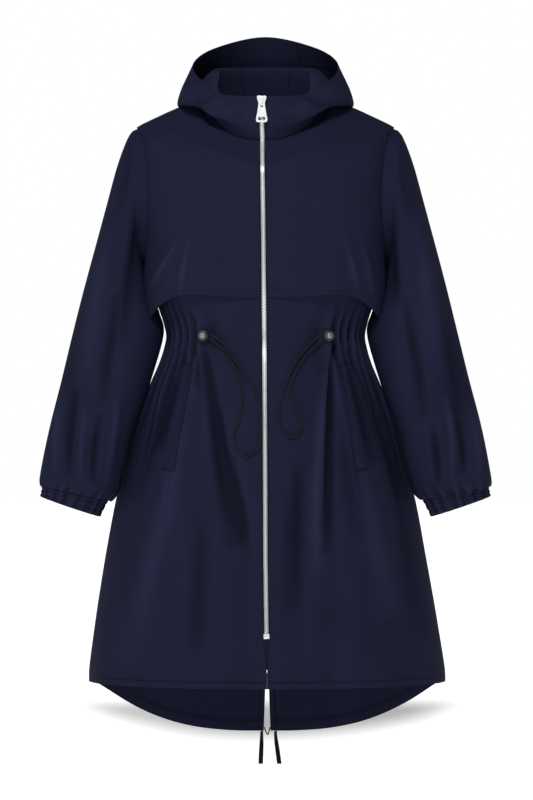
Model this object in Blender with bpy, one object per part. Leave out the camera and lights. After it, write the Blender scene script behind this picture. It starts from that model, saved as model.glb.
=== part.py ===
"""Hooded navy parka with a fishtail back, gathered waist, storm flaps and elasticated cuffs.

The coat stands hollow, as if worn. +Z is up, the front faces -Y, +X is the wearer's left,
and the origin is in the middle of the neck at shoulder height. Every size is in metres.
"""

import math
from collections import namedtuple

import bmesh
import bpy
import numpy as np
from mathutils import Matrix, Vector

# Cloth and seams
CLOTH = 0.0015
HALF_SEAM = 0.0002
BUTT = 0.0004

# Armhole: an oval on the side of the body
ARM_MIDDLE_Z = -0.1358
ARM_HALF_HEIGHT = 0.1142
ARM_HALF_DEPTH = 0.060
ARM_STEPS = 8

# Towards the shoulder tip the row of points there runs up onto the yoke by this much
TIP_RISE = 0.26
TIP_RISE_START = 0.60
TIP_RISE_REACH = 0.36

# Waist cord channel
WAIST_Z = -0.354

# Front opening
SLOT_HALF = 0.0055
ZIP_BOTTOM_Z = -0.825
SLIT_REACH = 0.053
VENT_TOP_Z = -0.850
VENT_HALF = 0.0055
VENT_REACH = 0.156

# The zip leans to the wearer's right towards the neck, the hem to the left. The lean is
# full this far forward of the middle, and the hem's starts at this height and grows over
# this drop.
NECK_LEAN = -0.006
HEM_LEAN = 0.0026
LEAN_DEPTH = 0.09
HEM_LEAN_TOP_Z = -0.70
HEM_LEAN_DROP = 0.20

# How roundly the fishtail drops from the side seams to the centre back
FISHTAIL_CURVE = 2.85

# Steps along a section that its arc length is measured with
RUN_STEPS = 121

# Body cross-sections from hem to underarm
Section = namedtuple("Section", "name z_front z_side z_back half front back square lift")
LOWER_SECTIONS = [
    Section("hem", -0.9015, -0.9040, -1.0065, 0.2850, 0.1900, 0.2050, 2.15, 1.0),
    Section("hem fold", -0.8780, -0.8805, -0.9825, 0.2838, 0.1880, 0.2030, 2.15, 1.0),
    Section("zip end", -0.8250, -0.8260, -0.9080, 0.2760, 0.1845, 0.1980, 2.15, 1.0),
    Section("knee", -0.770, -0.770, -0.815, 0.2672, 0.1770, 0.1890, 2.15, 1.0),
    Section("thigh", -0.690, -0.690, -0.712, 0.2530, 0.1690, 0.1800, 2.15, 1.0),
    Section("seat", -0.605, -0.605, -0.612, 0.2368, 0.1610, 0.1700, 2.2, 1.0),
    Section("hip", -0.520, -0.520, -0.522, 0.2145, 0.1510, 0.1570, 2.2, 1.0),
    Section("high hip", -0.450, -0.450, -0.450, 0.1910, 0.1410, 0.1430, 2.25, 1.0),
    Section("below waist", -0.400, -0.400, -0.400, 0.1685, 0.1310, 0.1280, 2.3, 1.0),
    Section("skirt top", -0.374, -0.374, -0.374, 0.1595, 0.1235, 0.1190, 2.3, 1.0),
    Section("waist", -0.354, -0.354, -0.354, 0.1560, 0.1200, 0.1145, 2.3, 1.0),
    Section("above waist", -0.334, -0.334, -0.334, 0.1600, 0.1225, 0.1180, 2.3, 1.0),
    Section("rib", -0.308, -0.308, -0.308, 0.1710, 0.1290, 0.1240, 2.4, 1.0),
    Section("under bust", -0.280, -0.280, -0.280, 0.1830, 0.1350, 0.1300, 2.5, 1.0),
    Section("underarm", -0.250, -0.250, -0.250, 0.1900, 0.1380, 0.1340, 2.6, 1.0),
]
SHOULDER = Section("shoulder tip", -0.100, -0.0216, -0.055, 0.2045, 0.1270, 0.1220, 1.5, 0.5)
YOKE_SECTIONS = [
    Section("outer yoke", -0.083, -0.0020, -0.022, 0.1660, 0.1170, 0.1080, 1.75, 0.7),
    Section("inner yoke", -0.066, 0.0152, 0.010, 0.1280, 0.1030, 0.0920, 1.95, 0.9),
    Section("neck", -0.0470, 0.0310, 0.0360, 0.0900, 0.0860, 0.0720, 2.1, 1.05),
]
UNDERARM_LEVEL = len(LOWER_SECTIONS) - 1
SHOULDER_LEVEL = UNDERARM_LEVEL + ARM_STEPS
NECK_LEVEL = SHOULDER_LEVEL + len(YOKE_SECTIONS)

# Columns of cloth across a panel: place as a share of its width, how far the gathers
# push it out at the waist, and how far above and below the waist that fades
Column = namedtuple("Column", "share push rise fall")
FRONT_COLUMNS = [
    Column(0.000, 0.0000, 0.05, 0.05),
    Column(0.130, 0.0000, 0.05, 0.05),
    Column(0.255, 0.0000, 0.05, 0.05),
    Column(0.370, -0.0012, 0.05, 0.24),
    Column(0.450, 0.0034, 0.06, 0.40),
    Column(0.495, -0.0024, 0.05, 0.09),
    Column(0.530, 0.0024, 0.07, 0.08),
    Column(0.565, -0.0028, 0.06, 0.08),
    Column(0.600, 0.0022, 0.07, 0.08),
    Column(0.640, -0.0032, 0.07, 0.09),
    Column(0.675, 0.0030, 0.08, 0.28),
    Column(0.710, -0.0032, 0.07, 0.22),
    Column(0.750, 0.0022, 0.07, 0.12),
    Column(0.790, -0.0032, 0.07, 0.15),
    Column(0.835, 0.0030, 0.08, 0.34),
    Column(0.880, -0.0032, 0.07, 0.25),
    Column(0.920, 0.0022, 0.06, 0.14),
    Column(0.960, -0.0022, 0.05, 0.10),
    Column(1.000, 0.0000, 0.05, 0.05),
]
BACK_COLUMNS = [
    Column(0.000, -0.0015, 0.06, 0.20),
    Column(0.140, 0.0028, 0.08, 0.34),
    Column(0.210, -0.0030, 0.07, 0.18),
    Column(0.280, 0.0024, 0.07, 0.15),
    Column(0.350, -0.0032, 0.08, 0.24),
    Column(0.420, 0.0032, 0.09, 0.36),
    Column(0.490, -0.0030, 0.07, 0.20),
    Column(0.560, 0.0024, 0.07, 0.14),
    Column(0.630, -0.0032, 0.07, 0.22),
    Column(0.700, 0.0030, 0.09, 0.32),
    Column(0.765, -0.0030, 0.07, 0.20),
    Column(0.830, 0.0024, 0.07, 0.13),
    Column(0.895, -0.0030, 0.07, 0.18),
    Column(0.955, 0.0018, 0.06, 0.20),
    Column(1.000, 0.0000, 0.05, 0.05),
]

# How far the storm flap's underside stands off the front, by level and place across
FlapRow = namedtuple("FlapRow", "level centre middle edge")
FLAP_ROWS = [
    FlapRow(NECK_LEVEL - 1, 0.0008, 0.0010, 0.0010),
    FlapRow(NECK_LEVEL - 2, 0.0007, 0.0010, 0.0010),
    FlapRow(SHOULDER_LEVEL, 0.0007, 0.0010, 0.0010),
    FlapRow(SHOULDER_LEVEL - 1, 0.0007, 0.0010, 0.0010),
    FlapRow(SHOULDER_LEVEL - 2, 0.0007, 0.0012, 0.0010),
    FlapRow(SHOULDER_LEVEL - 3, 0.0007, 0.0015, 0.0012),
    FlapRow(SHOULDER_LEVEL - 4, 0.0007, 0.0020, 0.0015),
    FlapRow(SHOULDER_LEVEL - 5, 0.0008, 0.0026, 0.0022),
    FlapRow(SHOULDER_LEVEL - 6, 0.0008, 0.0031, 0.0030),
    FlapRow(SHOULDER_LEVEL - 7, 0.0008, 0.0035, 0.0040),
    FlapRow(UNDERARM_LEVEL, 0.0009, 0.0048, 0.0065),
    FlapRow(UNDERARM_LEVEL - 1, 0.0014, 0.0068, 0.0140),
]
# The flap's top edge: how far below the neck seam it ends, in levels, by place across
FlapTop = namedtuple("FlapTop", "share drop")
FLAP_TOP = [
    FlapTop(0.00, 0.10),
    FlapTop(0.37, 0.12),
    FlapTop(0.60, 0.40),
    FlapTop(1.00, 0.40),
]
FLAP_TOP_STAND = 0.0009
# Below the middle of the armhole the flap's side edge hangs straight at this depth
FLAP_EDGE_DEPTH = 0.052
FLAP_EDGE_SHARE = 0.996
# The flap's free edge: height and stand-off by place across
FlapHem = namedtuple("FlapHem", "share z stand_off")
FLAP_HEM = [
    FlapHem(0.00, -0.2945, 0.0015),
    FlapHem(0.20, -0.2940, 0.0040),
    FlapHem(0.45, -0.2885, 0.0085),
    FlapHem(0.70, -0.2960, 0.0150),
    FlapHem(1.00, -0.3157, 0.0270),
]

# Sleeve rings from cap to cuff: outer and inner points of each ring in the front view,
# the ring's middle in depth and its half depth
Ring = namedtuple("Ring", "name outer_x outer_z inner_x inner_z middle_y half_depth")
SLEEVE_RINGS = [
    Ring("cap", 0.2135, -0.0270, 0.1925, -0.2501, 0.000, 0.0625),
    Ring("upper cap", 0.2225, -0.0425, 0.1925, -0.2548, 0.000, 0.0655),
    Ring("deltoid", 0.2370, -0.0831, 0.1895, -0.2640, -0.001, 0.0690),
    Ring("upper arm", 0.2538, -0.1442, 0.1848, -0.2770, -0.004, 0.0705),
    Ring("biceps", 0.2735, -0.2184, 0.1779, -0.2945, -0.009, 0.0690),
    Ring("above elbow", 0.2945, -0.2995, 0.1682, -0.3170, -0.017, 0.0660),
    Ring("elbow", 0.3114, -0.3685, 0.1618, -0.3520, -0.028, 0.0635),
    Ring("forearm", 0.3253, -0.4302, 0.1815, -0.4270, -0.041, 0.0615),
    Ring("mid forearm", 0.3381, -0.4857, 0.2040, -0.4890, -0.051, 0.0585),
    Ring("low forearm", 0.3486, -0.5372, 0.2195, -0.5490, -0.057, 0.0560),
    Ring("blouse", 0.3552, -0.5757, 0.2305, -0.5965, -0.062, 0.0510),
    Ring("tuck", 0.3551, -0.5875, 0.2403, -0.6103, -0.064, 0.0450),
]
CUFF_RINGS = [
    Ring("top", 0.3515, -0.5925, 0.2492, -0.6147, -0.065, 0.0375),
    Ring("middle", 0.3530, -0.6009, 0.2556, -0.6271, -0.065, 0.0345),
    Ring("bottom", 0.3545, -0.6083, 0.2620, -0.6399, -0.065, 0.0350),
]
SLEEVE_COLUMNS = 2 * ARM_STEPS
CUFF_GATHERS = 16
CUFF_PLEAT = 0.0014

# Hood stations from the zip round to the centre back. Each is one run of cloth from the
# neck seam over the stand, down into the bag, up its outer side and to the face edge.
HoodPoint = namedtuple("HoodPoint", "x y z")
Station = namedtuple("Station", "name stand bag side rim")
HOOD_STATIONS = [
    Station("zip", HoodPoint(0.0055, -0.0905, -0.0290), HoodPoint(0.0055, -0.0930, -0.0110),
            HoodPoint(0.0055, -0.0925, 0.0060), HoodPoint(0.0055, -0.0885, 0.0223)),
    Station("chin", HoodPoint(0.0390, -0.0870, -0.0265), HoodPoint(0.0425, -0.0900, -0.0105),
            HoodPoint(0.0430, -0.0885, 0.0065), HoodPoint(0.0418, -0.0815, 0.0230)),
    Station("jaw", HoodPoint(0.0670, -0.0690, -0.0130), HoodPoint(0.0780, -0.0780, -0.0080),
            HoodPoint(0.0800, -0.0725, 0.0140), HoodPoint(0.0708, -0.0600, 0.0325)),
    Station("peak", HoodPoint(0.0800, -0.0430, 0.0340), HoodPoint(0.1040, -0.0580, 0.0055),
            HoodPoint(0.1080, -0.0560, 0.0350), HoodPoint(0.0735, -0.0400, 0.0678)),
    Station("dip", HoodPoint(0.0845, -0.0190, 0.0540), HoodPoint(0.1260, -0.0300, 0.0125),
            HoodPoint(0.1290, -0.0260, 0.0360), HoodPoint(0.1005, -0.0180, 0.0540)),
    Station("corner", HoodPoint(0.0860, 0.0080, 0.0700), HoodPoint(0.1370, 0.0180, 0.0148),
            HoodPoint(0.1345, 0.0220, 0.0430), HoodPoint(0.1168, 0.0250, 0.0843)),
    Station("side back", HoodPoint(0.0700, 0.0500, 0.0780), HoodPoint(0.1060, 0.0980, -0.0040),
            HoodPoint(0.1080, 0.1150, 0.0560), HoodPoint(0.0830, 0.0980, 0.1180)),
    Station("centre back", HoodPoint(0.0, 0.0740, 0.0800), HoodPoint(0.0, 0.1340, -0.0260),
            HoodPoint(0.0, 0.1640, 0.0580), HoodPoint(0.0, 0.1480, 0.1420)),
]
# Where each station meets the neck seam: 0 at the zip, 1 at the shoulder, 2 at centre back
NECK_PLACES = [0.0, 0.37, 0.60, 0.79, 0.96, 1.105, 1.51, 2.0]
# Shares of the front and back neck edge where the hood's columns stand
FRONT_NECK_SHARES = [0.0, 0.13, 0.255, 0.37, 0.495, 0.60, 0.675, 0.75, 0.79, 0.835, 0.88, 0.92, 0.96, 1.0]
BACK_NECK_SHARES = [0.0, 0.14, 0.28, 0.42, 0.56, 0.70, 0.83, 0.895, 0.955, 1.0]
HOOD_SEAM_SHARE = 0.28
HOOD_SEAM_GAP = 0.0022
HOOD_ROWS = 13

# Slanted pocket welts on the fronts: edges in the front view from top to bottom
WeltRow = namedtuple("WeltRow", "inner_x outer_x z")
WELT_ROWS = [
    WeltRow(0.1115, 0.1275, -0.4040),
    WeltRow(0.1209, 0.1372, -0.4500),
    WeltRow(0.1278, 0.1445, -0.4850),
    WeltRow(0.1343, 0.1517, -0.5200),
    WeltRow(0.1377, 0.1560, -0.5420),
    WeltRow(0.1405, 0.1600, -0.5635),
]
WELT_COLUMNS = 5
WELT_TILT = 0.0045
WELT_STAND = 0.0015
WELT_THICK = 0.0020

# Zip: a strip of teeth on a narrow tape in the front slot. Depths run inwards from the cloth.
ZIP_ROWS = 21
CHAIN_TOP_Z = 0.0053
CHAIN_END_Z = -0.8165
CHAIN_HALF = 0.00325
CHAIN_FACE = -0.0005
CHAIN_BACK = 0.0015
TAPE_TOP_Z = 0.0205
TAPE_END_Z = -0.8720
TAPE_HALF = 0.0052
TAPE_FACE = 0.0018
TAPE_BACK = 0.0026
BOX_TOP_Z = -0.8168
BOX_END_Z = -0.8243
BOX_HALF = 0.0045
BOX_BACK = 0.0015

# Slider: shield-shaped front plate, a core in the slot and a bridge for the pull tab
SLIDER_X = NECK_LEAN
PLATE_FRONT_Y = -0.0970
PLATE_BACK_Y = -0.0940
PLATE_OUTLINE = [(0.0034, 0.0056), (0.0042, 0.0082), (0.0060, 0.0132), (0.0074, 0.0182),
                 (0.0072, 0.0207), (0.0052, 0.0220), (0.0018, 0.0213)]
CORE_HALF = 0.0030
CORE_BACK_Y = -0.0905
CORE_TOP_Z = 0.0207
CORE_END_Z = 0.0059
BRIDGE_HALF = 0.0015
BRIDGE_WALL = 0.0013
BRIDGE_INNER_Y = -0.0999
BRIDGE_OUTER_Y = -0.1011
BRIDGE_TOP_Z = 0.0207
BRIDGE_END_Z = 0.0072

# Pull tab, hung on its own cross bar under the bridge. Heights are from the bar.
TAB_Y = -0.09845
TAB_Z = 0.0112
TAB_THICK = 0.0016
TAB_BAR_END = 0.0008
TAB_OUTLINE = [(0.0044, 0.0008), (0.0050, -0.0006), (0.0056, -0.0070), (0.0066, -0.0140),
               (0.0080, -0.0210), (0.0090, -0.0262), (0.0088, -0.0292), (0.0074, -0.0310),
               (0.0036, -0.0315)]
TAB_EYE = [(0.0019, -0.0008), (0.0019, -0.0070), (0.0010, -0.0080)]
TAB_SLOT = [(0.0036, -0.0229), (0.0050, -0.0237), (0.0056, -0.0256), (0.0050, -0.0275),
            (0.0036, -0.0283)]

# Round cord stops at the waist: how far out each side's sits, and the profiles of its
# ring and its domed cap as radius and height
TOGGLE_X = {1: 0.0985, -1: 0.0930}
TOGGLE_Z = -0.3552
TOGGLE_SEAT = 0.0002
TOGGLE_TURNS = 14
RING_PROFILE = [(0.0057, 0.0), (0.0089, 0.0), (0.0094, 0.0022), (0.0092, 0.0048),
                (0.0080, 0.0066), (0.0064, 0.0070), (0.0057, 0.0064)]
CAP_PROFILE = [(0.0, 0.0006), (0.0054, 0.0006), (0.0054, 0.0068), (0.0044, 0.0080),
               (0.0024, 0.0088), (0.0, 0.0091)]

# Waist cord: each route is a run of points from a cord stop over the skirt
CORD_RADIUS = 0.00135
CORD_STEP = 0.0080
RIGHT_INNER_ROUTE = [
    (-0.0885, -0.1138, -0.3533), (-0.0826, -0.1140, -0.3556), (-0.0737, -0.1165, -0.3608),
    (-0.0628, -0.1217, -0.3742), (-0.0508, -0.1285, -0.3902), (-0.0369, -0.1347, -0.4102),
    (-0.0229, -0.1394, -0.4300), (-0.0131, -0.1434, -0.4479), (-0.0081, -0.1461, -0.4661),
    (-0.0070, -0.1495, -0.4902), (-0.0070, -0.1522, -0.5088), (-0.0085, -0.1542, -0.5243),
    (-0.0149, -0.1553, -0.5349), (-0.0266, -0.1567, -0.5417),
]
RIGHT_OUTER_ROUTE = [
    (-0.0890, -0.1139, -0.3582), (-0.0832, -0.1143, -0.3627), (-0.0750, -0.1173, -0.3694),
    (-0.0628, -0.1235, -0.3801), (-0.0529, -0.1299, -0.3961), (-0.0428, -0.1363, -0.4200),
    (-0.0378, -0.1414, -0.4439), (-0.0378, -0.1449, -0.4678), (-0.0418, -0.1478, -0.4896),
    (-0.0477, -0.1494, -0.5034), (-0.0497, -0.1509, -0.5153), (-0.0466, -0.1529, -0.5291),
    (-0.0411, -0.1542, -0.5376), (-0.0332, -0.1567, -0.5423),
]
LEFT_ROUTE = [
    (0.0900, -0.1124, -0.3534), (0.0843, -0.1117, -0.3555), (0.0756, -0.1144, -0.3621),
    (0.0614, -0.1225, -0.3782), (0.0474, -0.1303, -0.3961), (0.0374, -0.1357, -0.4161),
    (0.0285, -0.1410, -0.4400), (0.0225, -0.1447, -0.4618), (0.0210, -0.1474, -0.4796),
    (0.0234, -0.1495, -0.4954), (0.0304, -0.1508, -0.5072), (0.0413, -0.1511, -0.5136),
    (0.0512, -0.1493, -0.5083), (0.0562, -0.1468, -0.4975), (0.0552, -0.1450, -0.4844),
    (0.0493, -0.1439, -0.4706), (0.0421, -0.1428, -0.4558), (0.0394, -0.1404, -0.4400),
    (0.0417, -0.1374, -0.4261), (0.0489, -0.1327, -0.4093), (0.0598, -0.1266, -0.3909),
    (0.0720, -0.1196, -0.3768), (0.0838, -0.1132, -0.3650), (0.0904, -0.1125, -0.3582),
]
KNOT_PLACE = (-0.0298, -0.1571, -0.5433)
KNOT_RADIUS = 0.0034

# Hem cord across the vent, and the flat ends of the hem's tape
HEM_CORD_RADIUS = 0.0010
HEM_CORD_ROUTE = [
    (-0.0017, 0.2042, -1.0010), (-0.0004, 0.2045, -1.0060), (0.0016, 0.2047, -1.0105),
    (0.0037, 0.2048, -1.0132), (0.0052, 0.2047, -1.0100), (0.0062, 0.2045, -1.0055),
    (0.0069, 0.2042, -1.0010),
]
TapeRow = namedtuple("TapeRow", "left_x right_x y z turn")
TAPE_ROWS = [
    TapeRow(0.0166, -0.0062, 0.2042, -1.0071, 58.0),
    TapeRow(0.0170, -0.0064, 0.2046, -1.0160, 50.0),
    TapeRow(0.0180, -0.0067, 0.2051, -1.0260, 34.0),
    TapeRow(0.0194, -0.0071, 0.2054, -1.0360, 16.0),
    TapeRow(0.0208, -0.0075, 0.2054, -1.0460, 4.0),
    TapeRow(0.0220, -0.0078, 0.2052, -1.0545, -2.0),
    TapeRow(0.0230, -0.0080, 0.2050, -1.0620, -4.0),
]
TAPE_END_HALF = 0.0036
TAPE_END_THICK = 0.0012

# Points that coincide are merged, and edges sharper than this are shaded sharp
MERGE = 1e-6
SHARP_ANGLE = math.radians(40)

# Colours
NAVY = (0.0130, 0.0145, 0.0340, 1.0)
DARK_TAPE = (0.010, 0.011, 0.018, 1.0)
SILVER = (0.62, 0.62, 0.63, 1.0)
BLACK = (0.012, 0.012, 0.014, 1.0)
NICKEL = (0.34, 0.34, 0.34, 1.0)


def clear_scene():
    for item in list(bpy.data.objects):
        bpy.data.objects.remove(item, do_unlink=True)


def finish(name, colour, roughness, metallic):
    material = bpy.data.materials.new(name)
    material.use_nodes = True
    shader = material.node_tree.nodes["Principled BSDF"]
    shader.inputs["Base Color"].default_value = colour
    shader.inputs["Roughness"].default_value = roughness
    shader.inputs["Metallic"].default_value = metallic
    return material


def add_object(name, work, material):
    """Turn a bmesh into a named object with outward faces."""
    bmesh.ops.remove_doubles(work, verts=work.verts, dist=MERGE)
    bmesh.ops.recalc_face_normals(work, faces=work.faces)
    mesh = bpy.data.meshes.new(name)
    work.to_mesh(mesh)
    work.free()
    item = bpy.data.objects.new(name, mesh)
    item.data.materials.append(material)
    bpy.context.scene.collection.objects.link(item)
    mesh.shade_smooth()
    mesh.set_sharp_from_angle(angle=SHARP_ANGLE)
    return item


def smooth_path(points, place):
    """Catmull-Rom curve through points at a place from 0 to their last index."""
    last = len(points) - 1
    start = min(int(place), last - 1)
    local = place - start
    before = points[start - 1] if start > 0 else 2 * points[0] - points[1]
    after = points[start + 2] if start + 2 <= last else 2 * points[last] - points[last - 1]
    here = points[start]
    there = points[start + 1]
    return 0.5 * (
        2 * here
        + (there - before) * local
        + (2 * before - 5 * here + 4 * there - after) * local**2
        + (3 * here - before - 3 * there + after) * local**3
    )


def all_sections():
    """The body's sections from hem to neck, with the armhole's rows worked out."""
    underarm = LOWER_SECTIONS[-1]
    rows = [np.array(section[1:]) for section in LOWER_SECTIONS]
    low = np.array(underarm[1:])
    high = np.array(SHOULDER[1:])
    for step in range(1, ARM_STEPS + 1):
        share = step / ARM_STEPS
        row = low + (high - low) * share
        row[1] = ARM_MIDDLE_Z - ARM_HALF_HEIGHT * math.cos(math.pi * share)
        row[3] = underarm.half + (SHOULDER.half - underarm.half) * share**2
        row[4] = underarm.front + (SHOULDER.front - underarm.front) * share**2
        row[5] = underarm.back + (SHOULDER.back - underarm.back) * share**2
        row[6] = underarm.square + (SHOULDER.square - underarm.square) * share**3
        rows.append(row)
    rows += [np.array(section[1:]) for section in YOKE_SECTIONS]
    return np.array(rows)


SECTIONS = all_sections()


def armhole_depth(level):
    """How far the armhole's edge lies from the side seam at a level."""
    share = (level - UNDERARM_LEVEL) / ARM_STEPS
    if share <= 0 or share >= 1:
        return 0.0
    return ARM_HALF_DEPTH * math.sin(math.pi * share)


def lean(points):
    """The zip leans over the chest, and the hem swings slightly the other way."""
    moved = np.array(points, dtype=float)
    height = np.clip((moved[..., 2] - ZIP_BOTTOM_Z) / -ZIP_BOTTOM_Z, 0.0, 1.0) ** 2
    facing = np.clip(-moved[..., 1] / LEAN_DEPTH, 0.0, 1.0) ** 2
    low = np.clip((HEM_LEAN_TOP_Z - moved[..., 2]) / HEM_LEAN_DROP, 0.0, 1.0)
    moved[..., 0] += NECK_LEAN * height * facing + HEM_LEAN * low
    return moved


def opening_half(front, z):
    """Half the width of the front slot or the back vent at a height."""
    if front:
        if z >= ZIP_BOTTOM_Z:
            return SLOT_HALF
        share = (ZIP_BOTTOM_Z - z) / SLIT_REACH
        return max(SLOT_HALF * (1 - share), HALF_SEAM)
    share = np.clip((VENT_TOP_Z - z) / VENT_REACH, 0.0, 1.0)
    return HALF_SEAM + VENT_HALF * share


def body_run(level, front, shares):
    """Points of one half section from the centre line to the side or the armhole."""
    z_front, z_side, z_back, half, front_d, back_d, square, lift = smooth_path(SECTIONS, level)
    z_centre = z_front if front else z_back
    depth = front_d if front else back_d
    hole = armhole_depth(level)
    power = 2.0 / square
    start = math.asin((opening_half(front, z_centre) / half) ** (1 / power))
    stop = math.acos((hole / depth) ** (1 / power))
    angle = np.linspace(start, stop, RUN_STEPS)
    x = half * np.sin(angle) ** power
    y = depth * np.clip(np.cos(angle), 0.0, 1.0) ** power
    walked = np.concatenate([[0.0], np.cumsum(np.hypot(np.diff(x), np.diff(y)))])
    wanted = np.array(shares) * (walked[-1] - HALF_SEAM)
    px = np.interp(wanted, walked, x)
    py = np.interp(wanted, walked, y)
    if z_centre < z_side and level < UNDERARM_LEVEL:
        share = (px / half) ** FISHTAIL_CURVE
    else:
        share = np.clip((depth - py) / (depth - hole), 0.0, 1.0) ** lift
    pz = z_centre + (z_side - z_centre) * share
    return np.stack([px, -py if front else py, pz], axis=1)


def grid_normals(grid, turn, ring=False):
    """Unit normals of a grid's points, averaged over the triangles round each one."""
    if ring:
        grid = np.concatenate([grid, grid[:, :1]], axis=1)
    a = grid[:-1, :-1]
    b = grid[:-1, 1:]
    c = grid[1:, 1:]
    d = grid[1:, :-1]
    first = np.cross(b - a, c - a)
    second = np.cross(c - a, d - a)
    first /= np.linalg.norm(first, axis=2, keepdims=True)
    second /= np.linalg.norm(second, axis=2, keepdims=True)
    total = np.zeros_like(grid)
    total[:-1, :-1] += first + second
    total[:-1, 1:] += first
    total[1:, 1:] += first + second
    total[1:, :-1] += second
    if ring:
        total[:, 0] += total[:, -1]
        total = total[:, :-1]
    return turn * total / np.linalg.norm(total, axis=2, keepdims=True)


def flattened(normals, axis):
    """Normals laid into a seam's own plane."""
    flat = normals.copy()
    flat[..., axis] = 0.0
    return flat / np.linalg.norm(flat, axis=-1, keepdims=True)


def mirrored(grid, side):
    return grid * np.array([side, 1.0, 1.0])


def fade(distance, reach):
    """Soft fall from 1 at the waist to 0 at a reach."""
    share = min(abs(distance) / reach, 1.0)
    return 0.5 + 0.5 * math.cos(math.pi * share)


def gather_push(column, z):
    reach = column.rise if z > WAIST_Z else column.fall
    return column.push * fade(z - WAIST_Z, reach)


def wall_mesh(outer, inner, ring=False):
    """Closed wall between two grids of points; a ring joins its last column to its first."""
    rows, columns = outer.shape[:2]
    work = bmesh.new()
    outside = [[work.verts.new(point) for point in row] for row in outer]
    inside = [[work.verts.new(point) for point in row] for row in inner]
    spans = columns if ring else columns - 1
    for row in range(rows - 1):
        for column in range(spans):
            after = (column + 1) % columns
            for skin in (outside, inside):
                a = skin[row][column]
                b = skin[row][after]
                c = skin[row + 1][after]
                d = skin[row + 1][column]
                work.faces.new((a, b, c))
                work.faces.new((a, c, d))
    for row in (0, rows - 1):
        for column in range(spans):
            after = (column + 1) % columns
            strip_faces(work, outside[row][column], outside[row][after],
                        inside[row][after], inside[row][column])
    if not ring:
        for column in (0, columns - 1):
            for row in range(rows - 1):
                strip_faces(work, outside[row][column], outside[row + 1][column],
                            inside[row + 1][column], inside[row][column])
    return work


def strip_faces(work, a, b, c, d):
    work.faces.new((a, b, c))
    work.faces.new((a, c, d))


def panel_grids(front):
    """Outer and inner points of the left front or back panel, and its normals."""
    columns = FRONT_COLUMNS if front else BACK_COLUMNS
    shares = [column.share for column in columns]
    base = np.array([body_run(level, front, shares) for level in range(NECK_LEVEL + 1)])
    rise = TIP_RISE * np.clip((np.array(shares) - TIP_RISE_START) / TIP_RISE_REACH, 0.0, 1.0)
    rise[-1] = 0.0
    base[SHOULDER_LEVEL] += (base[SHOULDER_LEVEL + 1] - base[SHOULDER_LEVEL]) * rise[:, None]
    step = base[SHOULDER_LEVEL, -2] - base[SHOULDER_LEVEL - 1, -2]
    base[SHOULDER_LEVEL - 1, -2] += step * TIP_RISE
    normals = grid_normals(base, 1.0 if front else -1.0)
    pushes = np.array([[gather_push(column, point[2]) for column, point in zip(columns, row)]
                       for row in base])
    outer = base + normals * pushes[..., None]
    kept = FRONT_NECK_SHARES if front else BACK_NECK_SHARES
    outer[-1] = between_shares(between_shares(outer[-1], shares, kept), kept, shares)
    normals = grid_normals(outer, 1.0 if front else -1.0)
    normals[:, 0] = flattened(normals[:, 0], 0)
    for rows in (slice(0, UNDERARM_LEVEL + 1), slice(SHOULDER_LEVEL, None)):
        normals[rows, -1] = flattened(normals[rows, -1], 1)
    inner = outer - normals * CLOTH
    return outer, inner, normals


def between_shares(line, shares, wanted):
    """Points along a row of points, found by their share of its width."""
    return np.stack([np.interp(wanted, shares, line[:, axis]) for axis in range(3)], axis=1)


def on_panel(grid, level, shares, wanted):
    """Points on a panel's own surface at a level, by their share of its width."""
    row = min(int(level), len(grid) - 2)
    line = grid[row] + (grid[row + 1] - grid[row]) * (level - row)
    return between_shares(line, shares, wanted)


def on_front(outer, normals, x, z):
    """The front's surface point and normal at a place in the front view."""
    rows = outer[:UNDERARM_LEVEL + 1]
    points = np.array([[np.interp(x, row[:, 0], row[:, axis]) for axis in range(3)]
                       for row in rows])
    facing = np.array([[np.interp(x, row[:, 0], direction[:, axis]) for axis in range(3)]
                       for row, direction in zip(rows, normals)])
    point = np.array([x, np.interp(z, points[:, 2], points[:, 1]), z])
    normal = np.array([np.interp(z, points[:, 2], facing[:, axis]) for axis in range(3)])
    return point, normal / np.linalg.norm(normal)


def make_panels(material):
    for part, front in (("front", True), ("back", False)):
        outer, inner, _ = panel_grids(front)
        for name, side in (("left", 1), ("right", -1)):
            wall = wall_mesh(lean(mirrored(outer, side)), lean(mirrored(inner, side)))
            add_object(f"{part}_{name}", wall, material)


def flap_shares(outer, level, shares):
    """Places of the flap's columns across the front at a level."""
    edge = FLAP_EDGE_SHARE
    if level < UNDERARM_LEVEL + ARM_STEPS / 2:
        line = on_panel(outer, level, shares, shares)
        edge = min(edge, np.interp(FLAP_EDGE_DEPTH, line[::-1, 1] * -1, shares[::-1]))
    half = 0.5
    return [share if share <= half else half + (share - half) * (edge - half) / half
            for share in shares]


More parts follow.
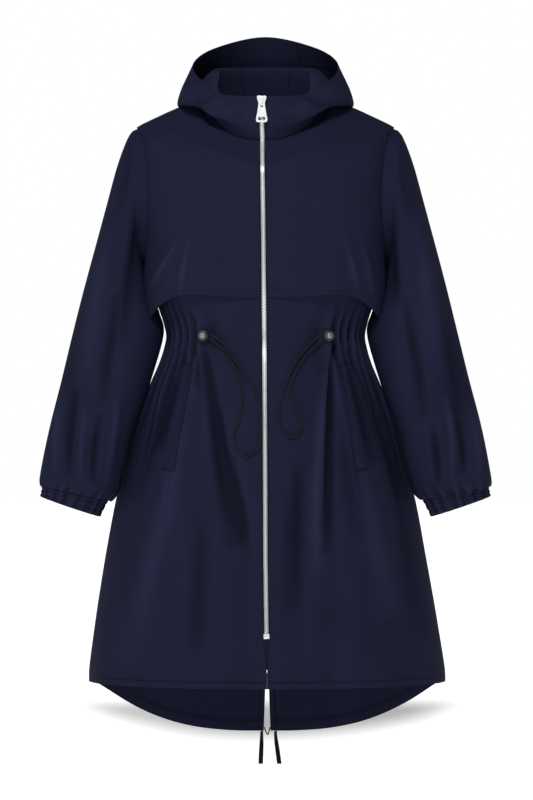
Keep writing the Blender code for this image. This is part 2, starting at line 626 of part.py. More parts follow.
def flap_grids():
    """Storm flap: the front's own points, moved out, with a free lower edge."""
    outer, _, normals = panel_grids(True)
    shares = [column.share for column in FRONT_COLUMNS]
    drops = np.interp(shares, [top.share for top in FLAP_TOP], [top.drop for top in FLAP_TOP])
    stands = [np.full(len(shares), FLAP_TOP_STAND)]
    wanted = flap_shares(outer, NECK_LEVEL - 1, shares)
    base = [[on_panel(outer, NECK_LEVEL - drop, shares, [share])[0]
             for drop, share in zip(drops, wanted)]]
    facing = [[on_panel(normals, NECK_LEVEL - drop, shares, [share])[0]
               for drop, share in zip(drops, wanted)]]
    for row in FLAP_ROWS:
        wanted = flap_shares(outer, row.level, shares)
        base.append(on_panel(outer, row.level, shares, wanted))
        facing.append(on_panel(normals, row.level, shares, wanted))
        stands.append(np.interp(shares, [0.0, 0.5, 1.0], [row.centre, row.middle, row.edge]))
    hem_z = np.interp(shares, [hem.share for hem in FLAP_HEM], [hem.z for hem in FLAP_HEM])
    heights = outer[:UNDERARM_LEVEL + 1, 0, 2]
    levels = np.interp(hem_z, heights, np.arange(UNDERARM_LEVEL + 1))
    base.append([on_panel(outer, level, shares, [flap_shares(outer, level, shares)[column]])[0]
                 for column, level in enumerate(levels)])
    facing.append([on_panel(normals, level, shares, [wanted[column]])[0]
                   for column, level in enumerate(levels)])
    stands.append(np.interp(shares, [hem.share for hem in FLAP_HEM],
                            [hem.stand_off for hem in FLAP_HEM]))
    under = np.array(base) + np.array(facing) * np.array(stands)[..., None]
    under[-1, :, 2] = hem_z
    over = under + grid_normals(under, -1.0) * CLOTH
    return over, under


def make_flaps(material):
    over, under = flap_grids()
    for name, side in (("left", 1), ("right", -1)):
        wall = wall_mesh(lean(mirrored(over, side)), lean(mirrored(under, side)))
        add_object(f"storm_flap_{name}", wall, material)


def make_welts(material):
    """Slanted pocket welts, the fronts' own points moved out."""
    outer, _, normals = panel_grids(True)
    under = []
    over = []
    for row in WELT_ROWS[::-1]:
        points = []
        facings = []
        for place in np.linspace(0.0, 1.0, WELT_COLUMNS):
            x = row.inner_x + (row.outer_x - row.inner_x) * place
            point, normal = on_front(outer, normals, x, row.z + WELT_TILT * (place - 0.5))
            points.append(point + normal * WELT_STAND)
            facings.append(normal)
        under.append(points)
        over.append(np.array(points) + np.array(facings) * WELT_THICK)
    for name, side in (("left", 1), ("right", -1)):
        wall = wall_mesh(lean(mirrored(np.array(over), side)),
                         lean(mirrored(np.array(under), side)))
        add_object(f"pocket_welt_{name}", wall, material)


def armhole_ring():
    """Points, body normals and inward directions round the armhole, from the shoulder tip."""
    front, _, front_normals = panel_grids(True)
    back, _, back_normals = panel_grids(False)
    points = []
    normals = []
    for level in range(SHOULDER_LEVEL, UNDERARM_LEVEL - 1, -1):
        points.append(front[level, -1])
        normals.append(front_normals[level, -1])
    for level in range(UNDERARM_LEVEL + 1, SHOULDER_LEVEL):
        points.append(back[level, -1])
        normals.append(back_normals[level, -1])
    points = np.array(points)
    normals = np.array(normals)
    points[[0, ARM_STEPS], 1] = 0.0
    tangent = np.roll(points, -1, axis=0) - np.roll(points, 1, axis=0)
    inward = np.cross(tangent, normals)
    inward /= np.linalg.norm(inward, axis=1, keepdims=True)
    towards = points.mean(axis=0) - points
    flip = np.sign(np.sum(inward * towards, axis=1, keepdims=True))
    return points, normals, inward * flip


def ring_points(ring, count, wobble=0.0):
    """One oval ring; its first point is the outer one, and it turns towards the front."""
    outer = np.array([ring.outer_x, ring.middle_y, ring.outer_z])
    inner = np.array([ring.inner_x, ring.middle_y, ring.inner_z])
    middle = 0.5 * (outer + inner)
    reach = 0.5 * (outer - inner)
    length = np.linalg.norm(reach)
    points = []
    for index in range(count):
        angle = 2 * math.pi * index / count
        swell = wobble if index % 2 == 0 else -wobble
        along = math.cos(angle) * (1 + swell / length)
        deep = -math.sin(angle) * (ring.half_depth + swell)
        points.append(middle + reach * along + np.array([0.0, deep, 0.0]))
    return np.array(points)


def wrist_axis():
    """Unit direction up the forearm at the cuff's seam."""
    top = CUFF_RINGS[0]
    axis = np.array([top.inner_z - top.outer_z, 0.0, top.outer_x - top.inner_x])
    return axis / np.linalg.norm(axis)


def wrist_ring():
    """The sleeve's last ring: the cuff's first one, moved up its axis by the seam gap."""
    top = CUFF_RINGS[0]
    up = wrist_axis() * BUTT
    return Ring("wrist", top.outer_x + up[0], top.outer_z + up[2], top.inner_x + up[0],
                top.inner_z + up[2], top.middle_y, top.half_depth)


def level_with_wrist(normals):
    """Normals laid into the plane of the cuff's seam."""
    axis = wrist_axis()
    flat = normals - np.sum(normals * axis, axis=-1, keepdims=True) * axis
    return flat / np.linalg.norm(flat, axis=-1, keepdims=True)


def sleeve_grids():
    """Outer and inner points of the left sleeve, starting inside the armhole's edge."""
    edge, body_normals, inward = armhole_ring()
    start = edge + inward * BUTT
    rings = [ring_points(ring, SLEEVE_COLUMNS) for ring in SLEEVE_RINGS + [wrist_ring()]]
    outer = np.array([start] + rings)
    normals = grid_normals(outer, 1.0, ring=True)
    normals[-1] = level_with_wrist(normals[-1])
    inner = outer - normals * CLOTH
    leave = outer[1] - outer[0]
    out = np.sum(leave * body_normals, axis=1, keepdims=True)
    across = np.sum(leave * inward, axis=1, keepdims=True)
    wall = inward * out - body_normals * across
    inner[0] = outer[0] + wall / np.linalg.norm(wall, axis=1, keepdims=True) * CLOTH
    return outer, inner


def cuff_grids():
    """Outer and inner points of the left cuff, pleated by its elastic."""
    count = 2 * CUFF_GATHERS
    plain = np.array([ring_points(ring, count) for ring in CUFF_RINGS])
    pleated = np.array([ring_points(ring, count, CUFF_PLEAT) for ring in CUFF_RINGS])
    normals = grid_normals(plain, 1.0, ring=True)
    normals[0] = level_with_wrist(normals[0])
    return pleated, pleated - normals * CLOTH


def make_sleeves(material):
    for part, grids in (("sleeve", sleeve_grids()), ("cuff", cuff_grids())):
        outer, inner = grids
        for name, side in (("left", 1), ("right", -1)):
            wall = wall_mesh(lean(mirrored(outer, side)), lean(mirrored(inner, side)), ring=True)
            add_object(f"{part}_{name}", wall, material)


def neck_line(index):
    """The left half's neck edge, outer or inner, with each point's place along the seam."""
    front = panel_grids(True)[index]
    back = panel_grids(False)[index]
    front_shares = np.array([column.share for column in FRONT_COLUMNS])
    back_shares = np.array([column.share for column in BACK_COLUMNS])
    places = np.concatenate([front_shares, 2.0 - back_shares[::-1]])
    up = np.concatenate([front[-1] - front[-2], (back[-1] - back[-2])[::-1]])
    up /= np.linalg.norm(up, axis=1, keepdims=True)
    return places, np.concatenate([front[-1], back[-1][::-1]]) + up * BUTT


def hood_grids(places):
    """Outer and inner points of one hood panel; places run along the neck seam."""
    along, outer_line = neck_line(0)
    _, inner_line = neck_line(1)
    stations = np.array([[np.array(point) for point in station[1:]] for station in HOOD_STATIONS])
    padded = np.concatenate([stations, stations[-2:-1] * np.array([-1.0, 1.0, 1.0])])
    columns = []
    seams = []
    for place in places:
        near = min(place, 4.0 - place)
        side = np.array([1.0 if place <= 2.0 else -1.0, 1.0, 1.0])
        seam = between_shares(outer_line, along, [near])
        station = np.interp(near, NECK_PLACES, range(len(NECK_PLACES)))
        knots = np.concatenate([seam, smooth_path(padded, station)])
        rows = [smooth_path(knots, 4.0 * row / (HOOD_ROWS - 1)) for row in range(HOOD_ROWS)]
        columns.append(np.array(rows) * side)
        seams.append(between_shares(inner_line, along, [near])[0] * side)
    outer = np.array(columns).transpose(1, 0, 2)
    inner = outer - grid_normals(outer, 1.0) * CLOTH
    inner[0] = np.array(seams)
    return outer, inner


def make_hood(material):
    seam = 2.0 - HOOD_SEAM_SHARE
    side_places = FRONT_NECK_SHARES + [2.0 - share for share in BACK_NECK_SHARES[::-1]
                                       if share < 1.0 and 2.0 - share < seam - HOOD_SEAM_GAP]
    side_places.append(seam - HOOD_SEAM_GAP)
    half = [2.0 - share for share in BACK_NECK_SHARES[::-1] if 2.0 - share > seam + HOOD_SEAM_GAP]
    centre_places = [seam + HOOD_SEAM_GAP] + half
    centre_places += [4.0 - place for place in centre_places[-2::-1]]
    outer, inner = hood_grids(side_places)
    for name, side in (("left", 1), ("right", -1)):
        add_object(f"hood_side_{name}",
                   wall_mesh(lean(mirrored(outer, side)), lean(mirrored(inner, side))), material)
    outer, inner = hood_grids(centre_places)
    add_object("hood_centre", wall_mesh(lean(outer), lean(inner)), material)


def zip_path():
    """Points and normals up the edge of the front slot, from the hem to the hood's top."""
    panel, _, panel_normals = panel_grids(True)
    hood, _ = hood_grids(FRONT_NECK_SHARES)
    hood_normals = grid_normals(hood, 1.0)
    points = np.concatenate([panel[:, 0], hood[1:, 0]])
    normals = np.concatenate([panel_normals[:, 0], hood_normals[1:, 0]])
    return points, flattened(normals, 0)


def strip_mesh(rows):
    """A closed strip through rows of four corners."""
    work = bmesh.new()
    rings = [[work.verts.new(point) for point in row] for row in rows]
    for lower, upper in zip(rings, rings[1:]):
        for corner in range(4):
            after = (corner + 1) % 4
            work.faces.new((lower[corner], lower[after], upper[after], upper[corner]))
    work.faces.new(rings[0])
    work.faces.new(rings[-1])
    return work


def zip_strip(name, top, end, half, face, back, material):
    """A flat strip in the front slot between two heights and two depths."""
    points, normals = zip_path()
    heights = np.linspace(TAPE_END_Z, TAPE_TOP_Z, ZIP_ROWS)
    path = np.stack([np.interp(heights, points[:, 2], column)
                     for column in (points[:, 1], normals[:, 1], normals[:, 2])])
    rows = []
    for z in [end] + [height for height in heights if end < height < top] + [top]:
        y, normal_y, normal_z = [np.interp(z, heights, column) for column in path]
        middle = np.array([0.0, y, z])
        facing = np.array([0.0, normal_y, normal_z])
        across = np.array([half, 0.0, 0.0])
        rows.append([middle - across - facing * face, middle + across - facing * face,
                     middle + across - facing * back, middle - across - facing * back])
    return add_object(name, strip_mesh(lean(np.array(rows))), material)


def box(name, x_half, y_front, y_back, z_low, z_high, material):
    work = bmesh.new()
    bmesh.ops.create_cube(work, size=1.0)
    size = Vector((2 * x_half, y_back - y_front, z_high - z_low))
    middle = Vector((SLIDER_X, 0.5 * (y_front + y_back), 0.5 * (z_low + z_high)))
    bmesh.ops.transform(work, matrix=Matrix.LocRotScale(middle, None, size), verts=work.verts)
    return add_object(name, work, material)


def plate(name, outlines, thick, material):
    """A flat plate from half outlines in the front view, the first solid, the others holes."""
    curve = bpy.data.curves.new(name, "CURVE")
    curve.dimensions = "2D"
    curve.fill_mode = "BOTH"
    curve.extrude = 0.5 * thick
    for outline in outlines:
        loop = outline + [(-x, z) for x, z in outline[::-1]]
        spline = curve.splines.new("POLY")
        spline.points.add(len(loop) - 1)
        for point, (x, z) in zip(spline.points, loop):
            point.co = (x, z, 0.0, 1.0)
        spline.use_cyclic_u = True
    flat = bpy.data.objects.new(name, curve)
    bpy.context.scene.collection.objects.link(flat)
    view = bpy.context.evaluated_depsgraph_get()
    work = bmesh.new()
    work.from_mesh(bpy.data.meshes.new_from_object(flat.evaluated_get(view)))
    bpy.data.objects.remove(flat, do_unlink=True)
    upright = Matrix.Rotation(0.5 * math.pi, 4, "X")
    bmesh.ops.transform(work, matrix=upright, verts=work.verts)
    return add_object(name, work, material)


def merge_onto(target, tool, operation):
    step = target.modifiers.new(tool.name, "BOOLEAN")
    step.operation = operation
    step.solver = "EXACT"
    step.object = tool
    tool.hide_render = True
    tool.display_type = "WIRE"


def make_zip(silver, tape):
    zip_strip("zip_tape", TAPE_TOP_Z, TAPE_END_Z, TAPE_HALF, TAPE_FACE, TAPE_BACK, tape)
    zip_strip("zip_chain", CHAIN_TOP_Z, CHAIN_END_Z, CHAIN_HALF, CHAIN_FACE, CHAIN_BACK, silver)
    zip_strip("zip_end_box", BOX_TOP_Z, BOX_END_Z, BOX_HALF, CHAIN_FACE, BOX_BACK, silver)
    slider = plate("zip_slider", [PLATE_OUTLINE], PLATE_BACK_Y - PLATE_FRONT_Y, silver)
    slider.data.transform(Matrix.Translation((SLIDER_X, 0.5 * (PLATE_FRONT_Y + PLATE_BACK_Y), 0.0)))
    core = box("slider_core", CORE_HALF, PLATE_BACK_Y - BRIDGE_WALL, CORE_BACK_Y, CORE_END_Z,
               CORE_TOP_Z, silver)
    merge_onto(slider, core, "UNION")
    bridge = box("slider_bridge", BRIDGE_HALF, BRIDGE_OUTER_Y, PLATE_FRONT_Y + BRIDGE_WALL,
                 BRIDGE_END_Z, BRIDGE_TOP_Z, silver)
    merge_onto(slider, bridge, "UNION")
    eye = box("slider_bridge_eye", CORE_HALF, BRIDGE_INNER_Y, PLATE_FRONT_Y,
              BRIDGE_END_Z + BRIDGE_WALL, BRIDGE_TOP_Z - BRIDGE_WALL, silver)
    merge_onto(slider, eye, "DIFFERENCE")
    tab = plate("zip_pull_tab", [TAB_OUTLINE, TAB_EYE, TAB_SLOT], TAB_THICK, silver)
    tab.location = (SLIDER_X, TAB_Y, TAB_Z)


def lathe(name, profile, seat, normal, material):
    """A turned piece: its profile spun round a normal from a seat point."""
    work = bmesh.new()
    turn = Vector((0.0, 0.0, 1.0)).rotation_difference(Vector(normal)).to_matrix()
    rings = []
    for step in range(TOGGLE_TURNS):
        angle = 2 * math.pi * step / TOGGLE_TURNS
        rings.append([work.verts.new(Vector(seat) + turn @ Vector((
            radius * math.cos(angle), radius * math.sin(angle), height)))
            for radius, height in profile])
    closed = profile[0][0] > 0
    for here, there in zip(rings, rings[1:] + rings[:1]):
        for index in range(len(profile) if closed else len(profile) - 1):
            after = (index + 1) % len(profile)
            work.faces.new((here[index], there[index], there[after], here[after]))
    bmesh.ops.remove_doubles(work, verts=work.verts, dist=MERGE)
    return add_object(name, work, material)


def toggle_seat(side):
    """Where a cord stop rests: clear of the highest gather under it."""
    outer, _, normals = panel_grids(True)
    middle = TOGGLE_X[side]
    point, normal = on_front(outer, normals, middle, TOGGLE_Z)
    radius = RING_PROFILE[2][0]
    _, low = on_front(outer, normals, middle - radius, TOGGLE_Z)
    _, high = on_front(outer, normals, middle + radius, TOGGLE_Z)
    normal = low + high
    normal[2] = 0.0
    normal /= np.linalg.norm(normal)
    heights = []
    for across in np.linspace(-radius, radius, 13):
        for up in np.linspace(-radius, radius, 7):
            near, _ = on_front(outer, normals, middle + across, TOGGLE_Z + up)
            heights.append(np.dot(near - point, normal))
    seat = point + normal * (max(heights) + TOGGLE_SEAT)
    turned = normal * np.array([side, 1.0, 1.0])
    return lean(mirrored(seat, side)), turned


def make_toggles(black, nickel):
    for name, side in (("left", 1), ("right", -1)):
        seat, normal = toggle_seat(side)
        lathe(f"toggle_ring_{name}", RING_PROFILE, seat, normal, black)
        lathe(f"toggle_cap_{name}", CAP_PROFILE, seat, normal, nickel)


def make_cord(name, route, radius, material):
    """A round cord along a smooth curve through its route."""
    knots = np.array(route)
    fine = np.array([smooth_path(knots, place)
                     for place in np.linspace(0.0, len(knots) - 1, 12 * len(knots))])
    walked = np.concatenate([[0.0], np.cumsum(np.linalg.norm(np.diff(fine, axis=0), axis=1))])
    step = CORD_STEP * radius / CORD_RADIUS
    count = math.ceil(walked[-1] / step) + 1
    wanted = np.linspace(0.0, walked[-1], count)
    curve = bpy.data.curves.new(name, "CURVE")
    curve.dimensions = "3D"
    curve.bevel_depth = radius
    curve.bevel_resolution = 2
    curve.use_fill_caps = True
    spline = curve.splines.new("POLY")
    spline.points.add(count - 1)
    for point, place in zip(spline.points, wanted):
        x, y, z = [np.interp(place, walked, fine[:, axis]) for axis in range(3)]
        point.co = (x, y, z, 1.0)
    item = bpy.data.objects.new(name, curve)
    curve.materials.append(material)
    bpy.context.scene.collection.objects.link(item)


def make_cords(material):
    make_cord("cord_right_inner", RIGHT_INNER_ROUTE, CORD_RADIUS, material)
    make_cord("cord_right_outer", RIGHT_OUTER_ROUTE, CORD_RADIUS, material)
    make_cord("cord_left", LEFT_ROUTE, CORD_RADIUS, material)
    make_cord("hem_cord", HEM_CORD_ROUTE, HEM_CORD_RADIUS, material)
    work = bmesh.new()
    bmesh.ops.create_icosphere(work, subdivisions=1, radius=KNOT_RADIUS,
                               matrix=Matrix.Translation(KNOT_PLACE))
    add_object("cord_knot", work, material)


def make_hem_tapes(material):
    """Flat tape ends hanging from the hem channel, turning as they fall."""
    for name in ("left", "right"):
        rows = []
        for row in TAPE_ROWS[::-1]:
            turn = math.radians(row.turn)
            middle = np.array([row.left_x if name == "left" else row.right_x, row.y, row.z])
            across = np.array([math.cos(turn), math.sin(turn), 0.0]) * TAPE_END_HALF
            deep = np.array([-math.sin(turn), math.cos(turn), 0.0]) * 0.5 * TAPE_END_THICK
            rows.append([middle - across - deep, middle + across - deep,
                         middle + across + deep, middle - across + deep])
        add_object(f"hem_tape_{name}", strip_mesh(np.array(rows)), material)


def main():
    clear_scene()
    cloth = finish("navy cloth", NAVY, 0.75, 0.0)
    make_panels(cloth)
    make_flaps(cloth)
    make_welts(cloth)
    make_sleeves(cloth)
    make_hood(cloth)
    silver = finish("silver metal", SILVER, 0.35, 1.0)
    black = finish("black plastic", BLACK, 0.5, 0.0)
    nickel = finish("nickel", NICKEL, 0.3, 1.0)
    tape = finish("dark tape", DARK_TAPE, 0.7, 0.0)
    make_zip(silver, tape)
    make_toggles(black, nickel)
    make_cords(cloth)
    make_hem_tapes(tape)


main()
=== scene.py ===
import math
from collections import namedtuple

import bmesh
import bpy
import numpy as np
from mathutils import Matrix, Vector


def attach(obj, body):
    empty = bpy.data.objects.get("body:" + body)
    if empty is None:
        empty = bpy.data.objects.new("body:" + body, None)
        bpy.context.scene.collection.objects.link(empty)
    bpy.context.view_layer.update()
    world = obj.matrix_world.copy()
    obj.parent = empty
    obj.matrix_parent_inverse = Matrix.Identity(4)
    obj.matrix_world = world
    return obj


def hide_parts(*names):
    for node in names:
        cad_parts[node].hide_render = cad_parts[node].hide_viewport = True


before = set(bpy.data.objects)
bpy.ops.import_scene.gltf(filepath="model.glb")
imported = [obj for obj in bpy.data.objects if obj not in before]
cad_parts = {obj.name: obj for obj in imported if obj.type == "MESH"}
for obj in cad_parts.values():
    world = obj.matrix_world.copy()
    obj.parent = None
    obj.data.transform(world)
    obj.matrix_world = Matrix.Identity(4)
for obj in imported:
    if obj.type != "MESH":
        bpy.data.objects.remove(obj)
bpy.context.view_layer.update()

# Camera
# Level with the middle of the coat, straight in front of it and five metres away, so that
# the far hem is drawn a little smaller than the near one.
CAMERA_PLACE = (0.0016, -5.0, -0.456)
CAMERA_LENS = 140.6
CAMERA_SENSOR = 36.0


def linked(name, data):
    """An object in the scene that carries the given data."""
    item = bpy.data.objects.new(name, data)
    bpy.context.scene.collection.objects.link(item)
    return item


camera_data = bpy.data.cameras.new("camera")
camera_data.sensor_fit = "VERTICAL"
camera_data.sensor_height = CAMERA_SENSOR
camera_data.lens = CAMERA_LENS
camera = linked("camera", camera_data)
camera.location = CAMERA_PLACE
camera.rotation_euler = (0.5 * math.pi, 0.0, 0.0)
bpy.context.scene.camera = camera
bpy.context.scene.view_settings.view_transform = "Standard"

# Waist cords
# Round elastic cord in a dark braided cover, 2.7 mm thick. Its two ends come out at the
# wearer's right cord stop and are tied together, and on the left it comes out as one loop.
CORD_RADIUS = 0.00135
CORD_SIDES = 12
CORD_STEP = 0.0022
CORD_COLOUR = (0.0065, 0.0070, 0.0095, 1.0)
# Painted shade for the braid's grooves and a painted highlight for its strand crowns
CORD_GROOVE_SHADE = (0.0025, 0.0027, 0.0040, 1.0)
CORD_CROWN_HIGHLIGHT = (0.0095, 0.0100, 0.0135, 1.0)
BRAID_STRANDS = 8
BRAID_PITCH = 0.0021
CORD_ROUTES = {
    "right_inner": [
        (-0.0885, -0.1138, -0.3533), (-0.0826, -0.1140, -0.3556), (-0.0737, -0.1165, -0.3608),
        (-0.0628, -0.1217, -0.3742), (-0.0508, -0.1285, -0.3902), (-0.0369, -0.1347, -0.4102),
        (-0.0229, -0.1394, -0.4300), (-0.0131, -0.1434, -0.4479), (-0.0081, -0.1461, -0.4661),
        (-0.0070, -0.1495, -0.4902), (-0.0070, -0.1522, -0.5088), (-0.0085, -0.1542, -0.5243),
        (-0.0149, -0.1553, -0.5349), (-0.0266, -0.1567, -0.5417),
    ],
    "right_outer": [
        (-0.0890, -0.1139, -0.3582), (-0.0832, -0.1143, -0.3627), (-0.0750, -0.1173, -0.3694),
        (-0.0628, -0.1235, -0.3801), (-0.0529, -0.1299, -0.3961), (-0.0428, -0.1363, -0.4200),
        (-0.0378, -0.1414, -0.4439), (-0.0378, -0.1449, -0.4678), (-0.0418, -0.1478, -0.4896),
        (-0.0477, -0.1494, -0.5034), (-0.0497, -0.1509, -0.5153), (-0.0466, -0.1529, -0.5291),
        (-0.0411, -0.1542, -0.5376), (-0.0332, -0.1567, -0.5423),
    ],
    "left": [
        (0.0900, -0.1124, -0.3534), (0.0843, -0.1117, -0.3555), (0.0756, -0.1144, -0.3621),
        (0.0614, -0.1225, -0.3782), (0.0474, -0.1303, -0.3961), (0.0374, -0.1357, -0.4161),
        (0.0285, -0.1410, -0.4400), (0.0225, -0.1447, -0.4618), (0.0210, -0.1474, -0.4796),
        (0.0234, -0.1495, -0.4954), (0.0304, -0.1508, -0.5072), (0.0413, -0.1511, -0.5136),
        (0.0512, -0.1493, -0.5083), (0.0562, -0.1468, -0.4975), (0.0552, -0.1450, -0.4844),
        (0.0493, -0.1439, -0.4706), (0.0421, -0.1428, -0.4558), (0.0394, -0.1404, -0.4400),
        (0.0417, -0.1374, -0.4261), (0.0489, -0.1327, -0.4093), (0.0598, -0.1266, -0.3909),
        (0.0720, -0.1196, -0.3768), (0.0838, -0.1132, -0.3650), (0.0904, -0.1125, -0.3582),
    ],
}
KNOT_PLACE = (-0.0298, -0.1571, -0.5433)
KNOT_RADIUS = 0.0034
KNOT_STEPS = 48
SHARP_ANGLE = math.radians(50)


def new_material(name, colour, roughness, **sockets):
    """A material with its plain values set on the shader's own sockets."""
    material = bpy.data.materials.new(name)
    material.use_nodes = True
    shader = material.node_tree.nodes["Principled BSDF"]
    shader.inputs["Base Color"].default_value = colour
    shader.inputs["Roughness"].default_value = roughness
    for socket, value in sockets.items():
        shader.inputs[socket.replace("_", " ")].default_value = value
    return material, material.node_tree, shader


def node(tree, kind, inputs=None, **settings):
    """A node with its settings, and its inputs linked or given a value."""
    made = tree.nodes.new(kind)
    for name, value in settings.items():
        setattr(made, name, value)
    for name, value in (inputs or {}).items():
        if isinstance(value, bpy.types.NodeSocket):
            tree.links.new(value, made.inputs[name])
        else:
            made.inputs[name].default_value = value
    return made


def math_node(tree, operation, first, second=0.0):
    return node(tree, "ShaderNodeMath", {0: first, 1: second}, operation=operation).outputs[0]


def ranged(tree, value, *limits, **settings):
    """A value carried over from one range, its first two limits, to the range of the next two."""
    inputs = dict(enumerate((value, *limits)))
    return node(tree, "ShaderNodeMapRange", inputs, **settings).outputs["Result"]


def blend(tree, factor, first, second):
    """A colour on the way from the first to the second."""
    mixed = node(tree, "ShaderNodeMix", {"Factor": factor}, data_type="RGBA")
    mixed.inputs["A"].default_value = first
    mixed.inputs["B"].default_value = second
    return mixed.outputs["Result"]


def bumped(tree, shader, height, strength, distance):
    """Stands a height up from the shader's surface."""
    bump = node(tree, "ShaderNodeBump", {"Height": height, "Strength": strength,
                                         "Distance": distance})
    tree.links.new(bump.outputs["Normal"], shader.inputs["Normal"])


def smooth_path(points, place):
    """Catmull-Rom curve through points at a place from 0 to their last index."""
    last = len(points) - 1
    start = min(int(place), last - 1)
    local = place - start
    here = points[start]
    there = points[start + 1]
    before = points[start - 1] if start > 0 else 2 * here - there
    after = points[start + 2] if start + 2 <= last else 2 * there - here
    return 0.5 * (2 * here + (there - before) * local
                  + (2 * before - 5 * here + 4 * there - after) * local**2
                  + (3 * here - before - 3 * there + after) * local**3)


def smooth_points(knots, count):
    """Points spread evenly over the places from the first knot to the last."""
    return np.array([smooth_path(knots, place)
                     for place in np.linspace(0.0, len(knots) - 1, count)])


def walked_to(path):
    """How far along a path each of its points lies."""
    return np.concatenate([[0.0], np.cumsum(np.linalg.norm(np.diff(path, axis=0), axis=1))])


def even_path(knots, step):
    """Points a step apart along the smooth curve through knots, and the curve's length."""
    fine = smooth_points(np.array(knots, dtype=float), 24 * len(knots))
    walked = walked_to(fine)
    wanted = np.linspace(0.0, walked[-1], max(int(walked[-1] / step), 2) + 1)
    points = np.stack([np.interp(wanted, walked, column) for column in fine.T], axis=1)
    return points, walked[-1]


def link_mesh(name, points, faces, uvs, material):
    """A mesh object with a UV for each face corner, shaded smooth up to a sharp angle."""
    mesh = bpy.data.meshes.new(name)
    mesh.from_pydata([tuple(point) for point in points], [], [tuple(face) for face in faces])
    layer = mesh.uv_layers.new(name="UVMap")
    layer.data.foreach_set("uv", np.asarray(uvs, dtype=np.float32).ravel())
    mesh.materials.append(material)
    mesh.shade_smooth()
    mesh.set_sharp_from_angle(angle=SHARP_ANGLE)
    mesh.validate()
    return linked(name, mesh)


def tube(name, path, radius, material):
    """A closed round tube along a path; its UV runs round and along, in metres."""
    path = np.array(path)
    ahead = np.gradient(path, axis=0)
    ahead /= np.linalg.norm(ahead, axis=1, keepdims=True)
    across = np.cross(ahead[0], (0.0, 0.0, 1.0) if abs(ahead[0][2]) < 0.9 else (1.0, 0.0, 0.0))
    points = []
    for place, direction in zip(path, ahead):
        across = across - direction * np.dot(across, direction)
        across /= np.linalg.norm(across)
        up = np.cross(direction, across)
        for side in range(CORD_SIDES):
            angle = 2 * math.pi * side / CORD_SIDES
            points.append(place + radius * (across * math.cos(angle) + up * math.sin(angle)))
    walked = walked_to(path)
    faces = []
    uvs = []
    round_length = 2 * math.pi * radius
    for row in range(len(path) - 1):
        near = row * CORD_SIDES
        far = near + CORD_SIDES
        for side in range(CORD_SIDES):
            after = (side + 1) % CORD_SIDES
            faces.append((near + side, near + after, far + after, far + side))
            for step, height in ((0, row), (1, row), (1, row + 1), (0, row + 1)):
                uvs.append((round_length * (side + step) / CORD_SIDES, walked[height]))
    first = tuple(range(CORD_SIDES))[::-1]
    last = tuple(range(len(points) - CORD_SIDES, len(points)))
    for cap, height in ((first, 0), (last, -1)):
        faces.append(cap)
        uvs += [(0.0, walked[height])] * CORD_SIDES
    return link_mesh(name, points, faces, uvs, material)


# Braided cover: two sets of strands that cross, drawn on the cord's own UV
cord_cloth, tree, shader = new_material("braided cord", CORD_COLOUR, 0.60, Specular_IOR_Level=0.16)
uv = node(tree, "ShaderNodeUVMap", uv_map="UVMap").outputs["UV"]
split = node(tree, "ShaderNodeSeparateXYZ", {"Vector": uv}).outputs
turn = math_node(tree, "MULTIPLY", split["X"], BRAID_STRANDS / CORD_RADIUS)
rise = math_node(tree, "MULTIPLY", split["Y"], 2 * math.pi / BRAID_PITCH)
strands = [math_node(tree, "SINE", math_node(tree, way, turn, rise)) for way in ("ADD", "SUBTRACT")]
braid = math_node(tree, "MAXIMUM", *strands)
bumped(tree, shader, braid, 0.5, 0.00025)
# The braid's colour follows its height: painted shade in the grooves between the strands, a painted
# highlight on their crowns
tree.links.new(blend(tree, ranged(tree, braid, -0.6, 1.0), CORD_GROOVE_SHADE, CORD_CROWN_HIGHLIGHT),
               shader.inputs["Base Color"])


def cord_knot(place, radius, material):
    """A small overhand knot: a tube that goes twice round itself."""
    turns = []
    for step in range(KNOT_STEPS + 1):
        angle = 4 * math.pi * step / KNOT_STEPS
        swell = radius * (0.42 + 0.14 * math.cos(1.5 * angle))
        turns.append(Vector(place) + Vector((
            swell * math.cos(angle), 0.45 * radius * math.sin(1.5 * angle), swell * math.sin(angle))))
    return tube("waist_cord_knot", turns, 0.42 * radius, material)


def declared(item, node_name, body="coat"):
    """Attaches a piece to the body it rides on and hides the CAD node that it stands for."""
    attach(item, body)
    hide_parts(node_name)


knot = cord_knot(KNOT_PLACE, KNOT_RADIUS, cord_cloth)
declared(knot, "cord_knot")
for side, far_end in (("right_inner", "knot"), ("right_outer", "knot"), ("left", "object")):
    path, length = even_path(CORD_ROUTES[side], CORD_STEP)
    cord = tube(f"waist_cord_{side}", path, CORD_RADIUS, cord_cloth)
    declared(cord, f"cord_{side}")

# Hem cord
# The thin cord in the back hem shows for a short way where it crosses the vent.
HEM_CORD_RADIUS = 0.0010
HEM_CORD_STEP = 0.0008
HEM_CORD_ROUTE = [
    (-0.0017, 0.2042, -1.0010), (-0.0004, 0.2045, -1.0060), (0.0016, 0.2047, -1.0105),
    (0.0037, 0.2048, -1.0132), (0.0052, 0.2047, -1.0100), (0.0062, 0.2045, -1.0055),
    (0.0069, 0.2042, -1.0010),
]
path, _ = even_path(HEM_CORD_ROUTE, HEM_CORD_STEP)
declared(tube("hem_cord_crossing", path, HEM_CORD_RADIUS, cord_cloth), "hem_cord")

# Cloth
# One closely woven, matt navy cloth makes every panel: fine crossed threads with a little
# slub and a faint uneven tone. The same weave, with a soft bloom, makes the tapes.
CLOTH = 0.0015
NAVY = (0.0128, 0.0150, 0.0372, 1.0)
NAVY_SHADE = (0.0106, 0.0126, 0.0318, 1.0)
THREADS_PER_METRE = 1900.0
SHEEN_TINT = (0.62, 0.68, 1.0, 1.0)
# How much a painted highlight lightens the cloth's colour on a ridge, and how much painted shade darkens
# it in a trough
RIDGE_PAINTED_HIGHLIGHT = 1.18
TROUGH_PAINTED_SHADE = 0.42

